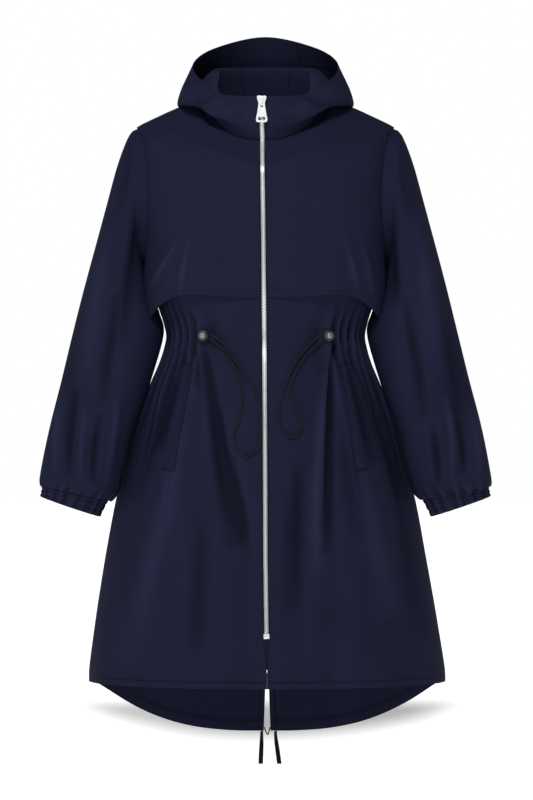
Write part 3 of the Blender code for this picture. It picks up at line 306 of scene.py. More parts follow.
weave = bpy.data.node_groups.new("plain weave", "ShaderNodeTree")
for name, kind in (("Cloth UV", "NodeSocketVector"), ("Threads per metre", "NodeSocketFloat"),
                   ("Slub", "NodeSocketFloat")):
    weave.interface.new_socket(name=name, in_out="INPUT", socket_type=kind)
for name in ("Height", "Tone"):
    weave.interface.new_socket(name=name, in_out="OUTPUT", socket_type="NodeSocketFloat")
given = node(weave, "NodeGroupInput").outputs
split = node(weave, "ShaderNodeSeparateXYZ", {"Vector": given["Cloth UV"]}).outputs
turns = math_node(weave, "MULTIPLY", given["Threads per metre"], math.pi)
threads = [math_node(weave, "SINE", math_node(weave, "MULTIPLY", split[way], turns)) for way in "XY"]
crossing = math_node(weave, "MULTIPLY", *threads)
slub_place = node(weave, "ShaderNodeVectorMath", {0: given["Cloth UV"], 1: (900.0, 60.0, 1.0)},
                  operation="MULTIPLY").outputs[0]
slub = node(weave, "ShaderNodeTexNoise", {"Vector": slub_place, "Scale": 1.0, "Detail": 3.0})
slub_height = math_node(weave, "MULTIPLY", slub.outputs["Fac"], given["Slub"])
clouds = node(weave, "ShaderNodeTexNoise", {"Vector": given["Cloth UV"], "Scale": 14.0,
                                            "Detail": 4.0, "Roughness": 0.62})
node(weave, "NodeGroupOutput", {
    "Height": math_node(weave, "ADD", crossing, slub_height),
    "Tone": math_node(weave, "ADD", math_node(weave, "MULTIPLY", clouds.outputs["Fac"], 0.7),
                      math_node(weave, "MULTIPLY", slub.outputs["Fac"], 0.3))})


def woven(name, dark, light, threads, roughness, sheen):
    """A cloth material: weave in the bump, a soft change of tone, and in the colour painted shade in the
    troughs of the folds and along seams, with a painted highlight on the ridges.
    """
    material, tree, shader = new_material(name, light, roughness, Sheen_Weight=sheen,
                                          Sheen_Roughness=0.45, Specular_IOR_Level=0.05)
    shader.inputs["Sheen Tint"].default_value = SHEEN_TINT
    uv = node(tree, "ShaderNodeUVMap", uv_map="UVMap").outputs["UV"]
    group = node(tree, "ShaderNodeGroup", node_tree=weave)
    tree.links.new(uv, group.inputs["Cloth UV"])
    group.inputs["Threads per metre"].default_value = threads
    group.inputs["Slub"].default_value = 0.9
    bumped(tree, shader, group.outputs["Height"], 0.35, 0.00012)
    tone = group.outputs["Tone"]
    plain = blend(tree, ranged(tree, tone, 0.35, 0.65), dark, light)
    # Painted shade and highlight: the colour is darkened in fold troughs and along seams and lightened
    # on ridges, by the depth kept on the mesh
    fold = node(tree, "ShaderNodeAttribute", attribute_name="painted_fold_shade").outputs["Fac"]
    share = ranged(tree, fold, -1.0, 1.0, RIDGE_PAINTED_HIGHLIGHT, TROUGH_PAINTED_SHADE)
    shaded = node(tree, "ShaderNodeVectorMath", {0: plain, "Scale": share}, operation="SCALE")
    tree.links.new(shaded.outputs[0], shader.inputs["Base Color"])
    tree.links.new(ranged(tree, tone, 0.3, 0.7, roughness - 0.05, roughness + 0.06),
                   shader.inputs["Roughness"])
    return material


navy_cloth = woven("navy cloth", NAVY_SHADE, NAVY, THREADS_PER_METRE, 0.80, 0.0)

# Fronts
# Two tall panels with the zip between them, cut from the same cloth. A cord channel
# gathers them at the waist, and the folds it makes fall over the skirt to the hem.
HALF_SEAM = 0.00003
BUTT = 0.0004
ARM_MIDDLE_Z = -0.1358
ARM_HALF_HEIGHT = 0.1142
ARM_HALF_DEPTH = 0.060
ARM_STEPS = 8
WAIST_Z = -0.354
SLOT_HALF = 0.0055
ZIP_BOTTOM_Z = -0.825
SLIT_REACH = 0.053
VENT_TOP_Z = -0.850
VENT_HALF = 0.0055
VENT_REACH = 0.156
NECK_LEAN = -0.006
HEM_LEAN = 0.0026
LEAN_DEPTH = 0.09
HEM_LEAN_TOP_Z = -0.70
HEM_LEAN_DROP = 0.20
FISHTAIL_CURVE = 2.85
RUN_STEPS = 241
SIDES = (("left", 1), ("right", -1))

# Cross-sections from hem to underarm: front, side and back height, half width, front and
# back depth, squareness, and how fast the height changes round the section
LOWER_SECTIONS = [
    (-0.9015, -0.9040, -1.0065, 0.2850, 0.1900, 0.2050, 2.15, 1.0),
    (-0.8780, -0.8805, -0.9825, 0.2838, 0.1880, 0.2030, 2.15, 1.0),
    (-0.8250, -0.8260, -0.9080, 0.2760, 0.1845, 0.1980, 2.15, 1.0),
    (-0.770, -0.770, -0.815, 0.2672, 0.1770, 0.1890, 2.15, 1.0),
    (-0.690, -0.690, -0.712, 0.2530, 0.1690, 0.1800, 2.15, 1.0),
    (-0.605, -0.605, -0.612, 0.2368, 0.1610, 0.1700, 2.2, 1.0),
    (-0.520, -0.520, -0.522, 0.2145, 0.1510, 0.1570, 2.2, 1.0),
    (-0.450, -0.450, -0.450, 0.1910, 0.1410, 0.1430, 2.25, 1.0),
    (-0.400, -0.400, -0.400, 0.1685, 0.1310, 0.1280, 2.3, 1.0),
    (-0.374, -0.374, -0.374, 0.1595, 0.1235, 0.1190, 2.3, 1.0),
    (-0.354, -0.354, -0.354, 0.1560, 0.1200, 0.1145, 2.3, 1.0),
    (-0.334, -0.334, -0.334, 0.1606, 0.1225, 0.1180, 2.3, 1.0),
    (-0.308, -0.308, -0.308, 0.1712, 0.1290, 0.1240, 2.4, 1.0),
    (-0.280, -0.280, -0.280, 0.1830, 0.1350, 0.1300, 2.5, 1.0),
    (-0.250, -0.250, -0.250, 0.1900, 0.1380, 0.1340, 2.6, 1.0),
]
SHOULDER = (-0.100, -0.0216, -0.055, 0.2045, 0.1270, 0.1220, 1.5, 0.5)
YOKE_SECTIONS = [
    (-0.083, -0.0020, -0.022, 0.1660, 0.1170, 0.1080, 1.75, 0.7),
    (-0.066, 0.0152, 0.010, 0.1280, 0.1030, 0.0920, 1.95, 0.9),
    (-0.0470, 0.0310, 0.0360, 0.0900, 0.0860, 0.0720, 2.1, 1.05),
]
UNDERARM_LEVEL = len(LOWER_SECTIONS) - 1
SHOULDER_LEVEL = UNDERARM_LEVEL + ARM_STEPS
NECK_LEVEL = SHOULDER_LEVEL + len(YOKE_SECTIONS)

# Waist gathers across a panel: place as a share of its width, push at the waist, and how
# far above and below the waist it fades
FRONT_GATHERS = np.array([
    (0.000, 0.0000, 0.05, 0.05), (0.130, 0.0000, 0.05, 0.05), (0.255, 0.0000, 0.05, 0.05),
    (0.370, -0.0012, 0.05, 0.24), (0.450, 0.0034, 0.06, 0.40), (0.495, -0.0024, 0.05, 0.09),
    (0.530, 0.0024, 0.07, 0.08), (0.565, -0.0028, 0.06, 0.08), (0.600, 0.0022, 0.07, 0.08),
    (0.640, -0.0032, 0.07, 0.09), (0.675, 0.0030, 0.08, 0.28), (0.710, -0.0032, 0.07, 0.22),
    (0.750, 0.0022, 0.07, 0.12), (0.790, -0.0032, 0.07, 0.15), (0.835, 0.0030, 0.08, 0.34),
    (0.880, -0.0032, 0.07, 0.25), (0.920, 0.0022, 0.06, 0.14), (0.960, -0.0022, 0.05, 0.10),
    (1.000, 0.0000, 0.05, 0.05),
])


def all_sections():
    """The body's sections from hem to neck, with the armhole's rows worked out."""
    rows = [np.array(section) for section in LOWER_SECTIONS]
    low = rows[-1]
    high = np.array(SHOULDER)
    for step in range(1, ARM_STEPS + 1):
        share = step / ARM_STEPS
        row = low + (high - low) * share
        row[1] = ARM_MIDDLE_Z - ARM_HALF_HEIGHT * math.cos(math.pi * share)
        row[3:6] = low[3:6] + (high[3:6] - low[3:6]) * share**2
        row[6] = low[6] + (high[6] - low[6]) * share**3
        rows.append(row)
    return np.array(rows + [np.array(section) for section in YOKE_SECTIONS])


SECTIONS = all_sections()


def armhole_depth(level):
    share = (level - UNDERARM_LEVEL) / ARM_STEPS
    return ARM_HALF_DEPTH * math.sin(math.pi * share) if 0 < share < 1 else 0.0


def lean(points):
    """The zip leans over the chest, and the hem swings slightly the other way."""
    moved = np.array(points, dtype=float)
    height = np.clip((moved[..., 2] - ZIP_BOTTOM_Z) / -ZIP_BOTTOM_Z, 0.0, 1.0) ** 2
    facing = np.clip(-moved[..., 1] / LEAN_DEPTH, 0.0, 1.0) ** 2
    low = np.clip((HEM_LEAN_TOP_Z - moved[..., 2]) / HEM_LEAN_DROP, 0.0, 1.0)
    moved[..., 0] += NECK_LEAN * height * facing + HEM_LEAN * low
    return moved


def opening_half(front, z):
    """Half the width of the front slot or the back vent at a height."""
    if not front:
        return HALF_SEAM + VENT_HALF * np.clip((VENT_TOP_Z - z) / VENT_REACH, 0.0, 1.0)
    if z >= ZIP_BOTTOM_Z:
        return SLOT_HALF
    return max(SLOT_HALF * (1 - (ZIP_BOTTOM_Z - z) / SLIT_REACH), HALF_SEAM)


def body_run(level, front, shares):
    """Points of one half section from the centre line to the side or the armhole."""
    z_front, z_side, z_back, half, front_d, back_d, square, lift = smooth_path(SECTIONS, level)
    z_centre = z_front if front else z_back
    depth = front_d if front else back_d
    hole = armhole_depth(level)
    power = 2.0 / square
    start = math.asin((opening_half(front, z_centre) / half) ** (1 / power))
    stop = math.acos((hole / depth) ** (1 / power))
    angle = np.linspace(start, stop, RUN_STEPS)
    x = half * np.sin(angle) ** power
    y = depth * np.clip(np.cos(angle), 0.0, 1.0) ** power
    walked = walked_to(np.stack([x, y], axis=1))
    wanted = np.array(shares) * (walked[-1] - HALF_SEAM)
    px = np.interp(wanted, walked, x)
    py = np.interp(wanted, walked, y)
    if z_centre < z_side and level < UNDERARM_LEVEL:
        share = (px / half) ** FISHTAIL_CURVE
    else:
        share = np.clip((depth - py) / (depth - hole), 0.0, 1.0) ** lift
    pz = z_centre + (z_side - z_centre) * share
    return np.stack([px, -py if front else py, pz], axis=1)


def unit(vectors):
    """Vectors brought to a length of one."""
    return vectors / np.maximum(np.linalg.norm(vectors, axis=-1, keepdims=True), 1e-12)


def grid_normals(grid, turn, ring=False):
    """Unit normals of a grid's points, averaged over the triangles round each one."""
    if ring:
        grid = np.concatenate([grid, grid[:, :1]], axis=1)
    a, b, c, d = grid[:-1, :-1], grid[:-1, 1:], grid[1:, 1:], grid[1:, :-1]
    first = unit(np.cross(b - a, c - a))
    second = unit(np.cross(c - a, d - a))
    total = np.zeros_like(grid)
    total[:-1, :-1] += first + second
    total[:-1, 1:] += first
    total[1:, 1:] += first + second
    total[1:, :-1] += second
    if ring:
        total[:, 0] += total[:, -1]
        total = total[:, :-1]
    return turn * unit(total)


def mirrored(grid, side):
    return grid * np.array([side, 1.0, 1.0])


def flattened(normals, axis):
    flat = normals.copy()
    flat[..., axis] = 0.0
    return unit(flat)


def gathered(gathers, shares, z):
    """Push of the waist gathers at each share and height, rounded between the folds."""
    index = np.interp(shares, gathers[:, 0], np.arange(len(gathers)))
    push, rise, fall = [np.array([smooth_path(gathers[:, column], place) for place in index])
                        for column in (1, 2, 3)]
    reach = np.where(z > WAIST_Z, rise, fall)
    share = np.clip(np.abs(z - WAIST_Z) / reach, 0.0, 1.0)
    return push * (0.5 + 0.5 * np.cos(math.pi * share))


UNEVEN = 0.0008
CREASE = 0.0045
FINE_CREASE = 0.003


def fold_push(across, up, folds):
    """Push of soft folds over points given by two coordinates.

    Folds are rows in millimetres: half width at the start and at the end, height (a trough
    is negative), how steep the left side is, and the points of the path.
    """
    total = np.zeros_like(across)
    for start_width, end_width, height, steep, *path in folds:
        knots = np.reshape(path, (-1, 2)) / 1000
        fine = smooth_points(knots, 8 * len(knots) - 7)
        steps = np.linalg.norm(np.diff(fine, axis=0), axis=1)
        starts = walked_to(fine)
        best = np.full(across.shape, 1e9)
        side = np.zeros_like(across)
        along = np.zeros_like(across)
        for (ax, az), (bx, bz), start, step in zip(fine, fine[1:], starts, steps):
            dx, dz = (bx - ax) / step, (bz - az) / step
            reach = np.clip((across - ax) * dx + (up - az) * dz, 0.0, step)
            gap_x, gap_z = across - ax - reach * dx, up - az - reach * dz
            gap = np.hypot(gap_x, gap_z)
            closer = gap < best
            best = np.where(closer, gap, best)
            side = np.where(closer, np.sign(gap_x * dz - gap_z * dx), side)
            along = np.where(closer, (start + reach) / starts[-1], along)
        place = 1000 * best / (start_width + (end_width - start_width) * along)
        ends = np.sin(math.pi * np.clip(0.06 + 0.94 * along, 0.0, 1.0)) ** 0.7
        shape = np.exp(-place**2) * (1.0 + steep * side * place)
        total += height / 1000 * ends * shape
    return total


def unevenness(across, up, seed, size=UNEVEN):
    """Slow, soft waves that keep a wide panel from being perfectly smooth."""
    chance = np.random.default_rng(seed)
    total = np.zeros_like(across)
    for _ in range(9):
        wave = chance.uniform(0.05, 0.16)
        heading = chance.normal(0.0, 0.45)
        phase = chance.uniform(0.0, 2 * math.pi)
        total += np.sin(2 * math.pi * (across * math.cos(heading) + up * math.sin(heading) * 0.45)
                        / wave + phase)
    return total * size / 3.0


def painted_fold_shade(push, size=CREASE):
    """How deep each point lies against the cloth round it, from a ridge's -1 to a trough's 1, for the
    painted shade and painted highlight in the cloth's colour.
    """
    near = push.copy()
    for axis in (0, 1):
        for _ in range(6):
            near = (np.roll(near, 1, axis) + near + np.roll(near, -1, axis)) / 3.0
    return np.clip(-(0.55 * push + 0.9 * (push - near)) / size, -1.0, 1.0)


def seam_painted_shade(depth, dark, rows=(), columns=()):
    """Paints shade along the rows and columns where a seam or a line of stitches draws the cloth in."""
    for row in rows:
        depth[row] = np.maximum(depth[row], dark)
    for column in columns:
        depth[:, column] = np.maximum(depth[:, column], dark)
    return depth


def cloth_uv(points):
    """Distances across and up a grid of points, in metres, as its UV."""
    ways = []
    for axis in (1, 0):
        steps = np.linalg.norm(np.diff(points, axis=axis), axis=2).mean(axis=1 - axis)
        ways.append(np.concatenate([[0.0], np.cumsum(steps)]))
    return np.stack(np.meshgrid(*ways), axis=2)


def shell(name, outer, material, turn=1.0, ring=False, thick=CLOTH, inner=None, depth=None):
    """A closed thin wall on a grid of points; a ring joins its last column to its first.

    Depth, from -1 on a ridge to 1 in a trough, is kept on the mesh for the cloth's painted shade and
    painted highlight.
    """
    if inner is None:
        inner = outer - grid_normals(outer, turn, ring) * thick
    rows, columns = outer.shape[:2]
    closed = np.concatenate([outer, outer[:, :1]], axis=1) if ring else outer
    uv = cloth_uv(closed).reshape(-1, 2)
    index = np.arange(rows * columns).reshape(rows, columns)
    if ring:
        index = np.concatenate([index, index[:, :1]], axis=1)
    place = np.arange(uv.shape[0]).reshape(rows, -1)
    far = rows * columns

    def corners(grid, offset):
        return [part.reshape(-1) + offset for part in
                (grid[:-1, :-1], grid[:-1, 1:], grid[1:, 1:], grid[1:, :-1])]

    faces = [np.stack(corners(index, 0), axis=1), np.stack(corners(index, far)[::-1], axis=1)]
    places = [np.stack(corners(place, 0), axis=1), np.stack(corners(place, 0)[::-1], axis=1)]
    rims = [(index[0], place[0], 1), (index[-1], place[-1], -1)]
    if not ring:
        rims += [(index[:, -1], place[:, -1], 1), (index[:, 0], place[:, 0], -1)]
    for line, spot, way in rims:
        a, b = line[:-1], line[1:]
        pa, pb = spot[:-1], spot[1:]
        faces.append(np.stack([b, a, a + far, b + far][::way], axis=1))
        places.append(np.stack([pb, pa, pa, pb][::way], axis=1))
    faces = np.concatenate(faces)
    places = np.concatenate(places)
    if turn < 0:
        faces = faces[:, ::-1]
        places = places[:, ::-1]
    points = np.concatenate([outer.reshape(-1, 3), inner.reshape(-1, 3)])
    item = link_mesh(name, points, faces.tolist(), uv[places.reshape(-1)], material)
    if depth is not None:
        # Kept for the painted shade in the troughs and the painted highlight on the ridges
        painted_shade = item.data.attributes.new("painted_fold_shade", "FLOAT", "POINT")
        painted_shade.data.foreach_set("value", np.tile(depth.reshape(-1), 2).astype(np.float32))
    return item


def cloth_piece(name, node_name, side, outer, held, flat, area=None, rests_on=(), inner=None,
                **shape):
    """Makes one cloth piece on its side of the coat, attaches it to the coat and hides its CAD node."""
    if inner is not None:
        inner = lean(mirrored(inner, side))
    item = shell(name, lean(mirrored(outer, side)), navy_cloth, inner=inner, **shape)
    declared(item, node_name)


def spread(start, *stops):
    """Values spread evenly from stop to stop; each stop says how many lead up to it."""
    values = [start]
    for count, stop in stops:
        values += list(np.linspace(values[-1], stop, count + 1)[1:])
    return np.array(values)


# Rows and columns a panel is built with: fine round the waist, the armhole and the hem
PANEL_LEVELS = spread(0.0, (12, 2.0), (75, 7.0), (60, 13.0), (63, 22.0), (21, 25.0))
FRONT_SHARES = spread(0.0, (24, 0.36), (109, 1.0))
GATHER_DEPTH = 1.6
# How strongly the waist gathers add to the painted shade in their troughs
GATHER_PAINTED_SHADE = 1.5
SIDE_FADE = 0.06
HEM_STITCH_ROW = 3

# Folds of the two fronts in the front view, across counted outwards from the zip
FRONT_FOLDS = {
    -1: [
        (5.9, 17.0, -9.5, 0.5, 98, -372, 89, -420, 79, -500, 66, -600, 50, -690),
        (6.8, 14.5, -7.2, 0.4, 76, -470, 68, -530, 52, -600, 30, -680),
        (5.9, 10.2, -4.2, 0.2, 52, -540, 40, -620, 24, -720),
        (4.3, 5.1, -5.7, 0.0, 109, -376, 106, -400, 104, -440),
        (5.1, 15.3, -8.0, -0.4, 126, -384, 136, -420, 152, -470, 172, -540),
        (5.1, 15.3, -6.5, -0.3, 143, -380, 158, -440, 180, -520, 205, -620),
        (10.2, 22.1, 6.5, 0.0, 134, -500, 160, -640, 196, -800, 214, -880),
        (13.6, 22.1, -4.2, 0.0, 100, -660, 106, -760, 110, -860),
    ],
    1: [
        (3.8, 11.9, -11.8, -0.7, 108, -372, 103, -420, 98, -500, 94, -600, 90, -700),
        (8.5, 17.0, 7.6, -0.4, 94, -420, 86, -520, 80, -640, 78, -740),
        (8.5, 15.3, -5.7, 0.3, 54, -560, 50, -660, 48, -790),
        (6.8, 10.2, -3.4, 0.0, 34, -600, 30, -700, 26, -800),
        (5.1, 15.3, -8.7, 0.4, 131, -376, 141, -420, 157, -480, 176, -560),
        (5.1, 15.3, -7.2, 0.3, 146, -380, 166, -440, 190, -510, 222, -620),
        (6.8, 17.0, -4.9, 0.0, 120, -470, 134, -560, 152, -680),
        (11.9, 22.1, 5.7, 0.0, 150, -560, 172, -680, 196, -800),
        (8.5, 17.0, -4.9, 0.0, 206, -560, 226, -700, 244, -840),
    ],
}


# A panel's folds die away at the middle and side seams, and above a height
Panel = namedtuple("Panel", "front gathers folds seeds middle_fade top_z top_fade")
FRONT = Panel(True, FRONT_GATHERS, FRONT_FOLDS, {1: 11, -1: 12}, 0.10, -0.300, 0.03)


def panel_grid(panel, side, levels, shares):
    """The outer points of a front or back before it is mirrored, its normals, and the painted shade of
    its folds and gathers.
    """
    base = np.array([body_run(level, panel.front, shares) for level in levels])
    normals = grid_normals(base, 1.0 if panel.front else -1.0)
    gather = np.array([gathered(panel.gathers, shares, row[:, 2]) for row in base])
    points = base + normals * (GATHER_DEPTH * gather)[..., None]
    push = fold_push(points[..., 0], points[..., 2], panel.folds[side])
    push += unevenness(points[..., 0], points[..., 2], panel.seeds[side])
    edges = (np.clip(shares / panel.middle_fade, 0.0, 1.0)
             * np.clip((1.0 - shares) / SIDE_FADE, 0.0, 1.0))
    push = push * edges * np.clip((panel.top_z - points[..., 2]) / panel.top_fade, 0.0, 1.0)
    normals[:, 0] = flattened(normals[:, 0], 0)
    return points + normals * push[..., None], normals, painted_fold_shade(push + GATHER_PAINTED_SHADE * gather)


for name, side in SIDES:
    points, _, depth = panel_grid(FRONT, side, PANEL_LEVELS, FRONT_SHARES)
    # Painted shade along the hem stitching, the neck edge and the side seam
    seam_painted_shade(depth, dark=0.6, rows=(HEM_STITCH_ROW, -1), columns=(-1,))
    cloth_piece(f"front_panel_{name}", f"front_{name}", side, points, "gathered",
                flat=(0.335, 0.985), area=0.262, turn=side, depth=depth)

# Backs
# Two panels with a seam down the middle that opens into a vent above the fishtail hem.
# The same cord gathers them at the waist, and folds fall from it all the way round.
BACK_GATHERS = np.array([
    (0.000, -0.0015, 0.06, 0.20), (0.140, 0.0028, 0.08, 0.34), (0.210, -0.0030, 0.07, 0.18),
    (0.280, 0.0024, 0.07, 0.15), (0.350, -0.0032, 0.08, 0.24), (0.420, 0.0032, 0.09, 0.36),
    (0.490, -0.0030, 0.07, 0.20), (0.560, 0.0024, 0.07, 0.14), (0.630, -0.0032, 0.07, 0.22),
    (0.700, 0.0030, 0.09, 0.32), (0.765, -0.0030, 0.07, 0.20), (0.830, 0.0024, 0.07, 0.13),
    (0.895, -0.0030, 0.07, 0.18), (0.955, 0.0018, 0.06, 0.20), (1.000, 0.0000, 0.05, 0.05),
])
BACK_SHARES = np.linspace(0.0, 1.0, 132)
BACK_FOLDS = {
    1: [
        (6.8, 18.7, -9.4, 0.3, 30, -380, 36, -480, 46, -620, 56, -760),
        (5.9, 15.3, -7.2, -0.4, 60, -380, 74, -470, 94, -600),
        (5.9, 18.7, -9.0, 0.4, 94, -380, 116, -480, 142, -620, 160, -760),
        (5.1, 15.3, -7.2, -0.3, 128, -384, 160, -470, 194, -590),
        (11.9, 23.8, 6.1, 0.0, 78, -520, 96, -680, 112, -860),
        (5.1, 10.2, -4.7, 0.0, 50, -320, 56, -270, 66, -210),
        (5.1, 11.9, -5.4, 0.2, 104, -322, 112, -270, 128, -200),
        (8.5, 13.6, -4.0, 0.0, 148, -180, 120, -130, 84, -90),
    ],
    -1: [
        (6.8, 17.0, -8.6, -0.3, 40, -378, 50, -480, 60, -600, 66, -700),
        (5.9, 20.4, -9.7, 0.4, 76, -380, 94, -480, 120, -640, 136, -800),
        (5.9, 15.3, -7.2, 0.0, 112, -382, 138, -470, 168, -580),
        (5.1, 15.3, -6.5, 0.3, 138, -390, 176, -480, 214, -610),
        (11.9, 23.8, 5.8, 0.0, 54, -560, 70, -700, 84, -880),
        (5.1, 10.2, -4.7, 0.0, 36, -322, 40, -280, 46, -220),
        (5.1, 11.9, -5.8, 0.0, 84, -320, 94, -262, 110, -190),
        (8.5, 13.6, -4.3, 0.0, 156, -200, 134, -150, 100, -100),
    ],
}
BACK = Panel(False, BACK_GATHERS, BACK_FOLDS, {1: 21, -1: 22}, 0.08, -0.060, 0.05)
# The column beside the vent where painted shade runs down below the vent's top
VENT_SHADE_COLUMN = 3

for name, side in SIDES:
    points, _, depth = panel_grid(BACK, side, PANEL_LEVELS, BACK_SHARES)
    # Painted shade along the hem stitching, the neck edge, the middle and side seams, and down the
    # vent's edge
    seam_painted_shade(depth, dark=0.7, rows=(HEM_STITCH_ROW + 2, -1), columns=(0, -1))
    vent_shade_rows = points[:, VENT_SHADE_COLUMN, 2] < VENT_TOP_Z
    depth[vent_shade_rows, VENT_SHADE_COLUMN] = 1.0
    cloth_piece(f"back_panel_{name}", f"back_{name}", side, points, "gathered",
                flat=(0.345, 1.095), area=0.300, turn=-side, depth=depth)

# Storm flaps
# A loose second layer over each shoulder and chest, caught in the neck and armhole seams
# and free along its bottom edge, which carries a line of stitching.
FLAP_LEVELS = [
    (NECK_LEVEL - 1, 0.0008, 0.0010, 0.0010), (NECK_LEVEL - 2, 0.0007, 0.0010, 0.0010),
    (SHOULDER_LEVEL, 0.0007, 0.0010, 0.0010), (SHOULDER_LEVEL - 1, 0.0007, 0.0010, 0.0010),
    (SHOULDER_LEVEL - 2, 0.0007, 0.0012, 0.0010), (SHOULDER_LEVEL - 3, 0.0007, 0.0015, 0.0012),
    (SHOULDER_LEVEL - 4, 0.0007, 0.0020, 0.0015), (SHOULDER_LEVEL - 5, 0.0008, 0.0026, 0.0022),
    (SHOULDER_LEVEL - 6, 0.0008, 0.0031, 0.0030), (SHOULDER_LEVEL - 7, 0.0008, 0.0035, 0.0040),
    (UNDERARM_LEVEL, 0.0009, 0.0048, 0.0065), (UNDERARM_LEVEL - 1, 0.0014, 0.0068, 0.0140),
]
FLAP_TOP = [(0.00, 0.10), (0.37, 0.12), (0.60, 0.40), (1.00, 0.40)]
FLAP_TOP_STAND = 0.0009
FLAP_ROWS = 96
FLAP_COLUMNS = 84
FLAP_EDGE_DEPTH = 0.052
FLAP_EDGE_SHARE = 0.996
FLAP_SEEDS = {1: 31, -1: 32}
FLAP_UNEVEN = 0.0003
FLAP_HEM = np.array([(0.00, -0.2945, 0.0015), (0.20, -0.2940, 0.0040), (0.45, -0.2885, 0.0085),
                     (0.70, -0.2960, 0.0150), (1.00, -0.3157, 0.0270)])
FLAP_FOLDS = {
    -1: [
        (3.6, 5.4, 3.3, 0.5, 130, -200, 152, -240, 173, -278),
        (3.6, 5.4, 3.0, 0.4, 116, -205, 124, -250, 130, -292),
        (5.4, 7.2, -1.8, 0.0, 146, -190, 158, -215, 170, -236),
        (9.0, 12.6, 1.4, 0.0, 95, -30, 100, -90, 104, -160),
        (10.8, 16.2, -1.4, 0.0, 60, -90, 58, -160, 60, -240),
        (6.3, 9.0, -1.8, 0.0, 186, -100, 178, -160, 172, -220),
    ],
    1: [
        (4.5, 6.3, 2.7, -0.4, 122, -190, 134, -240, 142, -290),
        (4.5, 6.3, 2.7, 0.4, 152, -200, 160, -244, 164, -296),
        (9.0, 12.6, 1.4, 0.0, 100, -60, 106, -120, 108, -190),
        (9.0, 14.4, -1.4, 0.0, 70, -140, 66, -200, 68, -260),
        (6.3, 9.0, -2.1, 0.0, 184, -90, 180, -150, 176, -220),
    ],
}


def flap_edge(level):
    """The share of the front where the flap's outer edge hangs at a level."""
    if level >= UNDERARM_LEVEL + ARM_STEPS / 2:
        return FLAP_EDGE_SHARE
    shares = np.linspace(0.0, 1.0, 60)
    depth = -body_run(level, True, shares)[:, 1]
    return min(FLAP_EDGE_SHARE, np.interp(FLAP_EDGE_DEPTH, depth[::-1], shares[::-1]))


def flap_grid(side):
    """The flap's upper side: the front's own surface, moved out, down to its free edge."""
    shares = np.linspace(0.0, 1.0, FLAP_COLUMNS)
    level_rows = [NECK_LEVEL - np.interp(shares, *zip(*FLAP_TOP))]
    stand_rows = [np.full(FLAP_COLUMNS, FLAP_TOP_STAND)]
    for level, *stands in FLAP_LEVELS:
        level_rows.append(np.full(FLAP_COLUMNS, float(level)))
        stand_rows.append(np.interp(shares, [0.0, 0.5, 1.0], stands))
    fine = np.linspace(UNDERARM_LEVEL - 4, UNDERARM_LEVEL, 80)
    heights = [smooth_path(SECTIONS, level)[0] for level in fine]
    index = np.interp(shares, FLAP_HEM[:, 0], np.arange(len(FLAP_HEM)))
    hem = np.array([smooth_path(FLAP_HEM, place) for place in index])
    level_rows.append(np.interp(hem[:, 1], heights, fine))
    stand_rows.append(hem[:, 2])
    levels = smooth_points(np.array(level_rows), FLAP_ROWS)
    stands = smooth_points(np.array(stand_rows), FLAP_ROWS)
    levels[-1] = level_rows[-1]
    edges = np.interp(levels[:, -1], *zip(*[(level, flap_edge(level)) for level in
                                            np.linspace(UNDERARM_LEVEL - 4, NECK_LEVEL, 120)]))
    under = []
    for row, edge in zip(levels, edges):
        wanted = np.where(shares <= 0.5, shares, 0.5 + (shares - 0.5) * (edge - 0.5) / 0.5)
        under.append([body_run(level, True, [share])[0] for level, share in zip(row, wanted)])
    under = np.array(under)
    normals = grid_normals(under, -1.0)
    push = fold_push(under[..., 0], under[..., 2], FLAP_FOLDS[side])
    push += unevenness(under[..., 0], under[..., 2], FLAP_SEEDS[side], FLAP_UNEVEN)
    loose = np.clip((stands - 0.0008) / 0.0035, 0.0, 1.0) * np.clip((1.0 - shares) / 0.05, 0.0, 1.0)
    push = np.maximum(push, -0.4 * stands) * loose
    return under + normals * (stands + push + CLOTH)[..., None], painted_fold_shade(push, FINE_CREASE)


flap_points = {}
for name, side in SIDES:
    flap_points[side], depth = flap_grid(side)
    # Painted shade along the flap's top row, at the neck seam
    seam_painted_shade(depth, dark=1.0, rows=(0,))
    cloth_piece(f"storm_flap_{name}_cloth", f"storm_flap_{name}", side, flap_points[side], "hung",
                flat=(0.260, 0.345), area=0.072, rests_on=[f"front_panel_{name}"],
                turn=-side, depth=depth)

# Pocket welts
# A slanted strip of doubled cloth lies along each pocket mouth. It stands a little off the
# front, and its edges are rounded off.
WELT_ROWS = np.array([(0.1405, 0.1600, -0.5635), (0.1377, 0.1560, -0.5420),
                      (0.1343, 0.1517, -0.5200), (0.1278, 0.1445, -0.4850),
                      (0.1209, 0.1372, -0.4500), (0.1115, 0.1275, -0.4040)])
WELT_TILT = 0.0045
WELT_STAND = 0.0015
WELT_THICK = 0.0020
WELT_SOFT = 0.0004
WELT_FIELD = (2.0, 9.0, 90)


def on_grid(points, normals, x, z):
    """Surface point and normal of a panel at a place in the front view."""
    rows = points[:, :, 2].mean(axis=1)
    keep = np.argsort(rows)
    line = []
    for row in keep:
        order = np.argsort(points[row, :, 0])
        line.append([np.interp(x, points[row, order, 0], values[row, order, axis])
                     for values in (points, normals) for axis in range(3)])
    line = np.array(line)
    order = np.argsort(line[:, 2])
    found = [np.interp(z, line[order, 2], line[order, axis]) for axis in (1, 3, 4, 5)]
    normal = np.array(found[1:])
    return np.array([x, found[0], z]), normal / np.linalg.norm(normal)


